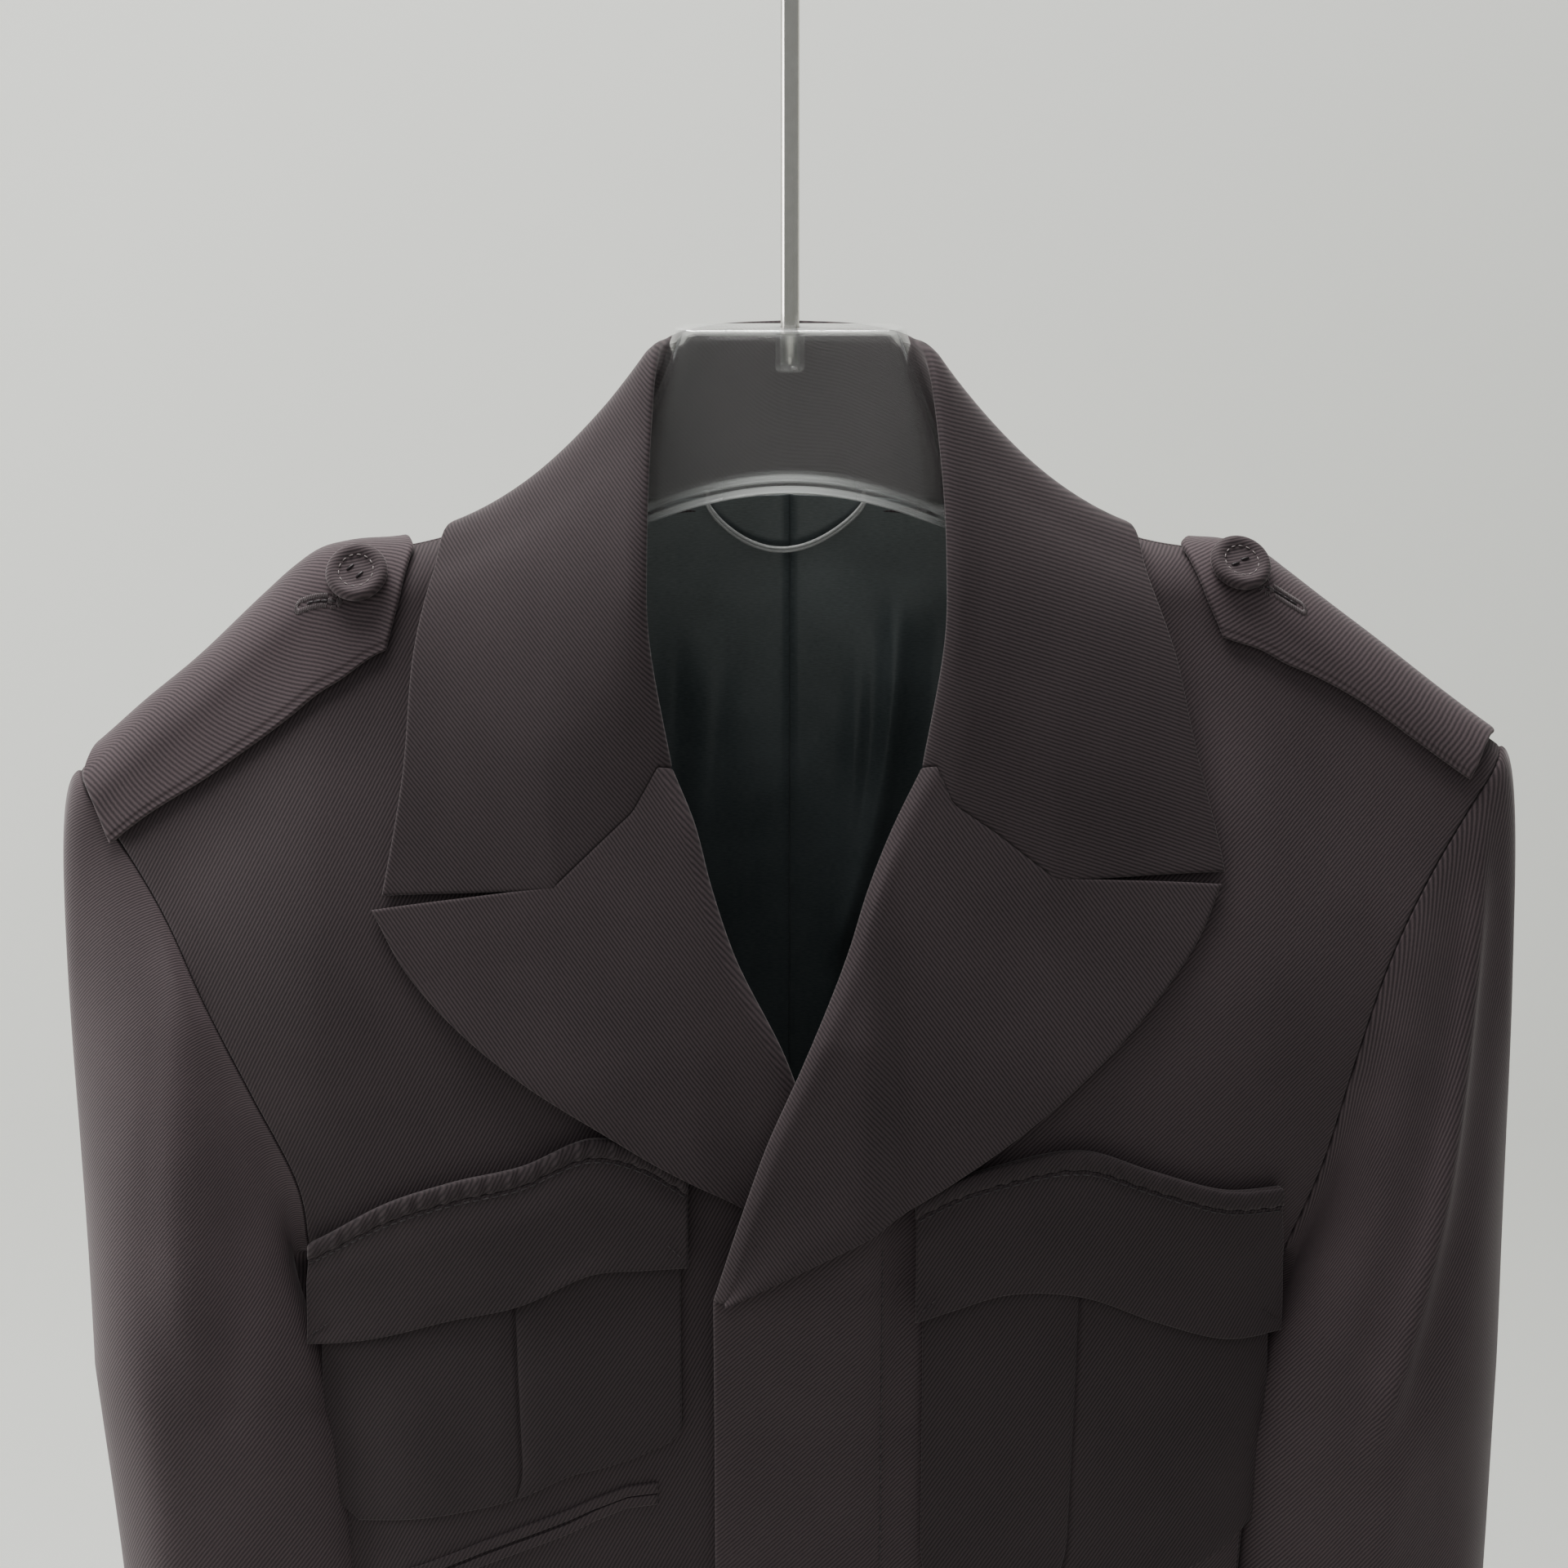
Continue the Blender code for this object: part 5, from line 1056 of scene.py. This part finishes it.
loop_satin = satin("loop_satin", (0.26, 0.265, 0.265), (0.5, 0.505, 0.5), 0.24)
share = np.linspace(0, 1, 90)
x = LOOP_ENDS[0] + (LOOP_ENDS[1] - LOOP_ENDS[0]) * share
z = LOOP_TOP + (LOOP_LOW - LOOP_TOP) * np.sin(math.pi * share) ** 0.7 * (1 + 0.16 * (0.5 - share))
parts = []
for shift in (-LOOP_RADIUS, LOOP_RADIUS):
    path, _ = inside_back(x, z + shift * (1 - 0.2 * np.sin(math.pi * share)), LOOP_DEPTH)
    parts.append(tube(path, LOOP_RADIUS, 12, (0, 1, 0)))
points, faces = joined(parts)
mesh_piece("satin_loop", points, faces, loop_satin, "satin", "hanger_loop", points[:, [0, 2]])

# Hanger: clear moulded acrylic, a bell-shaped neck under a flat top plate, and two sloping arms, open below.
# The neck has a rounded lower rim and a socket for the hook's rod.
# Neck rows: depth, half width, half thickness. Arm rows: distance, top, bottom, half thickness
NECK = np.array([
    (0, 36.6, 8.5), (2, 37.2, 8.6), (8, 39.4, 8.9), (17, 43.0, 9.3), (25, 46.2, 9.8), (34, 49.4, 10.5),
    (45, 52.6, 11.3), (66, 56.5, 12.4)], float)
ARM = np.array([
    (51, -62.5, -69, 11.5), (62, -63.5, -79, 11.0), (85, -66.8, -95, 10.5), (110, -71.5, -103, 9.5),
    (135, -79.5, -109, 8.5), (155, -88.5, -118, 8), (175, -104.5, -132, 7), (196, -121.5, -146, 6)], float)
HANGER_WALL, RIM_MIDDLE, RIM_DROP, BEAD, PLATE_EDGE = 2.2, 49.5, 13.5, 1.1, 1.1
SOCKET_INSIDE, SOCKET_OUTSIDE, SOCKET_DEPTH, PLATE_RINGS, BEAD_RINGS = 3.3, 4.7, 14.2, 9, 9
acrylic = Finish("clear_acrylic_shell", Roughness=0.015, IOR=1.49)
# The edge attribute makes the rim bead and the top plate milky and less see-through, most near the middle: a painted
# highlight along the rim and plate.
painted_rim_highlight = acrylic.add("Attribute", "Fac", attribute_name="edge")
acrylic.feed(acrylic.shader, Alpha=acrylic.add("MapRange", Value=painted_rim_highlight, To_Min=0.3, To_Max=0.95),
             Transmission_Weight=acrylic.add("MapRange", Value=painted_rim_highlight, To_Min=0.94, To_Max=0.5))
ripple = acrylic.grain(26.0)
acrylic.tint(ripple, (0.93, 0.95, 0.945), (0.98, 0.99, 0.985))
acrylic.bump(ripple, 0.2, 0.0003)


def stadium(count):
    """Round a slot's outline: the share of its straight side, and the unit direction of its round end."""
    turn = np.linspace(-0.5, 0.5, count) * math.pi
    run = np.linspace(1, -1, count)[1:-1]
    ahead = 0 * run
    side = np.concatenate([np.ones(count), run, -np.ones(count), -run])
    across = np.concatenate([np.cos(turn), ahead, -np.cos(turn), ahead])
    over = np.concatenate([np.sin(turn), 1 + ahead, -np.sin(turn), ahead - 1])
    return side, across, over


side, across, over = stadium(22)


def neck_ring(depth, inset):
    """A ring of the neck at a depth, which may differ round it, moved inwards by an inset."""
    values = flowing(NECK, np.broadcast_to(depth, side.shape))
    half, thick = values[..., 0], values[..., 1]
    x = side * (half - thick) + across * (thick - inset)
    return np.stack([x, over * (thick - inset), -np.broadcast_to(depth, side.shape)], axis=-1)


def round_ring(radius, height):
    """A circle at a height, its points facing the same way as those of the plate's edge."""
    way = unit(np.stack([side * 0.77 + across * 0.23, over * 0.4], axis=-1))
    return np.concatenate([radius * way, np.full(side.shape, height)[:, None]], axis=-1)


width = side * 0.8 + across * 0.2
rim = RIM_MIDDLE + RIM_DROP * width**2
down = np.linspace(0.02, 1, 60)
outside = neck_ring(PLATE_EDGE, 0.0)
plate = neck_ring(0.0, PLATE_EDGE)
hole = round_ring(SOCKET_INSIDE, 0.0)
rings = [round_ring(SOCKET_INSIDE, -12.0), hole]
rings += [hole + (plate - hole) * share for share in (0.15, 0.4, 0.7)] + [plate]
rings += [plate + (outside - plate) * (math.sin(a), math.sin(a), 1 - math.cos(a)) for a in (0.5, 1.0, 1.57)]
rings += [neck_ring(PLATE_EDGE + (rim - PLATE_EDGE) * share, 0.0) for share in down]
swell = neck_ring(rim, 0.0) - neck_ring(rim, 1.0)
for a in np.linspace(0, math.pi, BEAD_RINGS):
    bead = neck_ring(rim, HANGER_WALL / 2)
    rings.append(bead + swell * (HANGER_WALL / 2 + BEAD * math.sin(a)) * math.cos(a) - (0, 0, 2.4 * math.sin(a) + 0.2))
below = HANGER_WALL + 0.4
rings += [neck_ring(below + (rim - below) * share, HANGER_WALL) for share in down[::-1]]
under = neck_ring(HANGER_WALL, HANGER_WALL + PLATE_EDGE)
tube_top = round_ring(SOCKET_OUTSIDE, -HANGER_WALL)
rings += [under] + [under + (tube_top - under) * share for share in (0.4, 0.8)] + [tube_top]
rings += [round_ring(SOCKET_OUTSIDE, -SOCKET_DEPTH + 0.7), round_ring(SOCKET_OUTSIDE - 0.7, -SOCKET_DEPTH)]
section = np.stack(rings)
parts = [(section.reshape(-1, 3), capped(*section.shape[:2]))]
stations = np.linspace(ARM[0, 0], ARM[-1, 0], 60)
top, bottom, half = flowing(ARM, stations).T
angle = np.linspace(0, math.pi, 32)
for mark in (-1, 1):
    shell = []
    for inset, turn in ((0.0, angle), (HANGER_WALL, angle[::-1])):
        over_arm = bottom[:, None] + (top - bottom - inset)[:, None] * np.sin(turn)
        level = (half - inset)[:, None] * np.cos(turn)
        shell.append(np.stack([mark * stations[:, None] + 0 * level, level * mark, over_arm], axis=-1))
    shell = np.concatenate(shell, axis=1)
    parts.append((shell.reshape(-1, 3), capped(*shell.shape[:2])))
points, faces = joined(parts)
hanger = mesh_piece("clear_hanger", points, faces, acrylic.material, "clear_acrylic", "hanger_body")
hanger.data.set_sharp_from_angle(angle=math.radians(35))
# Share of the painted highlight for each ring: full on the bead, under half on the plate, a little on the socket,
# fading away from the middle.
painted_ring_highlight, beads = np.zeros(len(rings)), PLATE_RINGS + len(down)
painted_ring_highlight[:2], painted_ring_highlight[2:PLATE_RINGS], painted_ring_highlight[-7:], painted_ring_highlight[beads:beads + BEAD_RINGS] = 0.1, 0.45, 0.1, 1.0
share = np.zeros(len(points))
share[:section[..., 0].size] = (painted_ring_highlight[:, None] * (0.3 + 0.7 * bell(section[..., 0] / 27))).ravel()
hanger.data.attributes.new("edge", "FLOAT", "POINT").data.foreach_set("value", share.astype(np.float32))

# Hook: a 6 mm polished steel rod, fixed in the neck's socket.
# It goes straight up and is bent over into the hook.
ROD, STEM_TOP, HOOK_MIDDLE, HOOK_RADIUS, HOOK_FROM, HOOK_TO = 3.0, 115.0, 156.0, 22.0, -50.0, 200.0
steel = Finish("steel_rod", Metallic=1.0, Roughness=0.16)
steel.tint(steel.grain(300.0), (0.58, 0.56, 0.52), (0.7, 0.68, 0.64))
start, end = math.radians(HOOK_FROM), math.radians(HOOK_TO)
join = np.array([HOOK_RADIUS * math.cos(start), 0, HOOK_MIDDLE + HOOK_RADIUS * math.sin(start)])
foot = np.array([0, 0, STEM_TOP])
pull = 0.5 * np.linalg.norm(join - foot)
t = np.linspace(0, 1, 24)[:-1, None]
first, second = foot + (0, 0, pull), join - pull * np.array([-math.sin(start), 0, math.cos(start)])
swing = cubic(t, foot, first, second, join)
bend = np.linspace(start, end, 80)
hook_bend = np.stack([HOOK_RADIUS * np.cos(bend), 0 * bend, HOOK_MIDDLE + HOOK_RADIUS * np.sin(bend)], axis=-1)
stem = np.column_stack([np.zeros((12, 2)), np.linspace(-11.7, 100, 12)])
path = np.concatenate([stem, swing, hook_bend])
tip = np.concatenate([np.full(len(path) - 3, ROD), [2.9, 2.4, 1.2]])
points, faces = tube(path, tip, 40, (0, 1, 0))
mesh_piece("steel_hook", points, faces, steel.material, "polished_steel", "hook")

# Studio: a pale wall and floor, soft lights above, ahead, to the left and over the wall, and an even pale world.
# The wall isn't seen from its back, so that the jacket shows from behind too.
wall_paint = Finish("wall_paint", Roughness=0.9)
wall_paint.tint(wall_paint.grain(6.0, Detail=6.0), (0.83, 0.84, 0.80), (0.87, 0.88, 0.84))
surface = wall_paint.add("MixShader", Fac=wall_paint.add("NewGeometry", "Backfacing"))
wall_paint.tree.links.new(wall_paint.shader.outputs["BSDF"], surface.node.inputs[1])
wall_paint.tree.links.new(wall_paint.add("BsdfTransparent"), surface.node.inputs[2])
wall_paint.feed(wall_paint.tree.nodes["Material Output"], Surface=surface)
FLOOR, WALL_AT, WALL_TOP, HALF_ROOM, COVE = -1.12, 0.75, 4.0, 6.0, 0.4
turn = np.linspace(0, math.pi / 2, 16)
cove = np.stack([WALL_AT - COVE + COVE * np.sin(turn), FLOOR + COVE - COVE * np.cos(turn)], axis=-1)
profile = np.concatenate([[(-HALF_ROOM, FLOOR)], cove, [(WALL_AT, WALL_TOP)]])
grid = np.concatenate([np.insert(profile, 0, x, axis=1) for x in (-HALF_ROOM, HALF_ROOM)])
mesh = bpy.data.meshes.new("backdrop")
mesh.from_pydata(grid.tolist(), [], quads(2, len(profile))[:, ::-1].tolist())
mesh.materials.append(wall_paint.material)
mesh.shade_smooth()
new_object("backdrop", mesh)


def soft_light(name, place, aim, size, power, colour):
    """A square area light at a place, turned towards a point."""
    data = bpy.data.lights.new(name, "AREA")
    data.shape, data.size, data.energy, data.color = "SQUARE", size, power, colour
    lamp = new_object(name, data)
    way = np.array(aim, float) - np.array(place, float)
    lamp.location = place
    lamp.rotation_euler = (math.acos(-way[2] / np.linalg.norm(way)), 0, math.atan2(-way[0], way[1]))
    lamp.visible_camera = False


soft_light("above", (-0.32, 0.08, 0.95), (0, 0, -0.2), 0.8, 27, (1, 0.99, 0.97))
soft_light("ahead", (-0.1, -1.3, 0.85), (0, 0, -0.25), 0.9, 3.0, (1, 1, 1))
soft_light("left", (-1.0, 0.06, -0.35), (-0.2, 0, -0.5), 0.5, 6.6, (1, 0.99, 0.97))
soft_light("wall", (0.0, 0.3, 1.35), (0, 0.75, -0.2), 1.2, 16, (1, 1, 0.98))
world = bpy.data.worlds.new("studio")
world.use_nodes = True
background = world.node_tree.nodes["Background"]
background.inputs["Color"].default_value = (0.9, 0.93, 0.92, 1)
background.inputs["Strength"].default_value = 0.36
bpy.context.scene.world = world
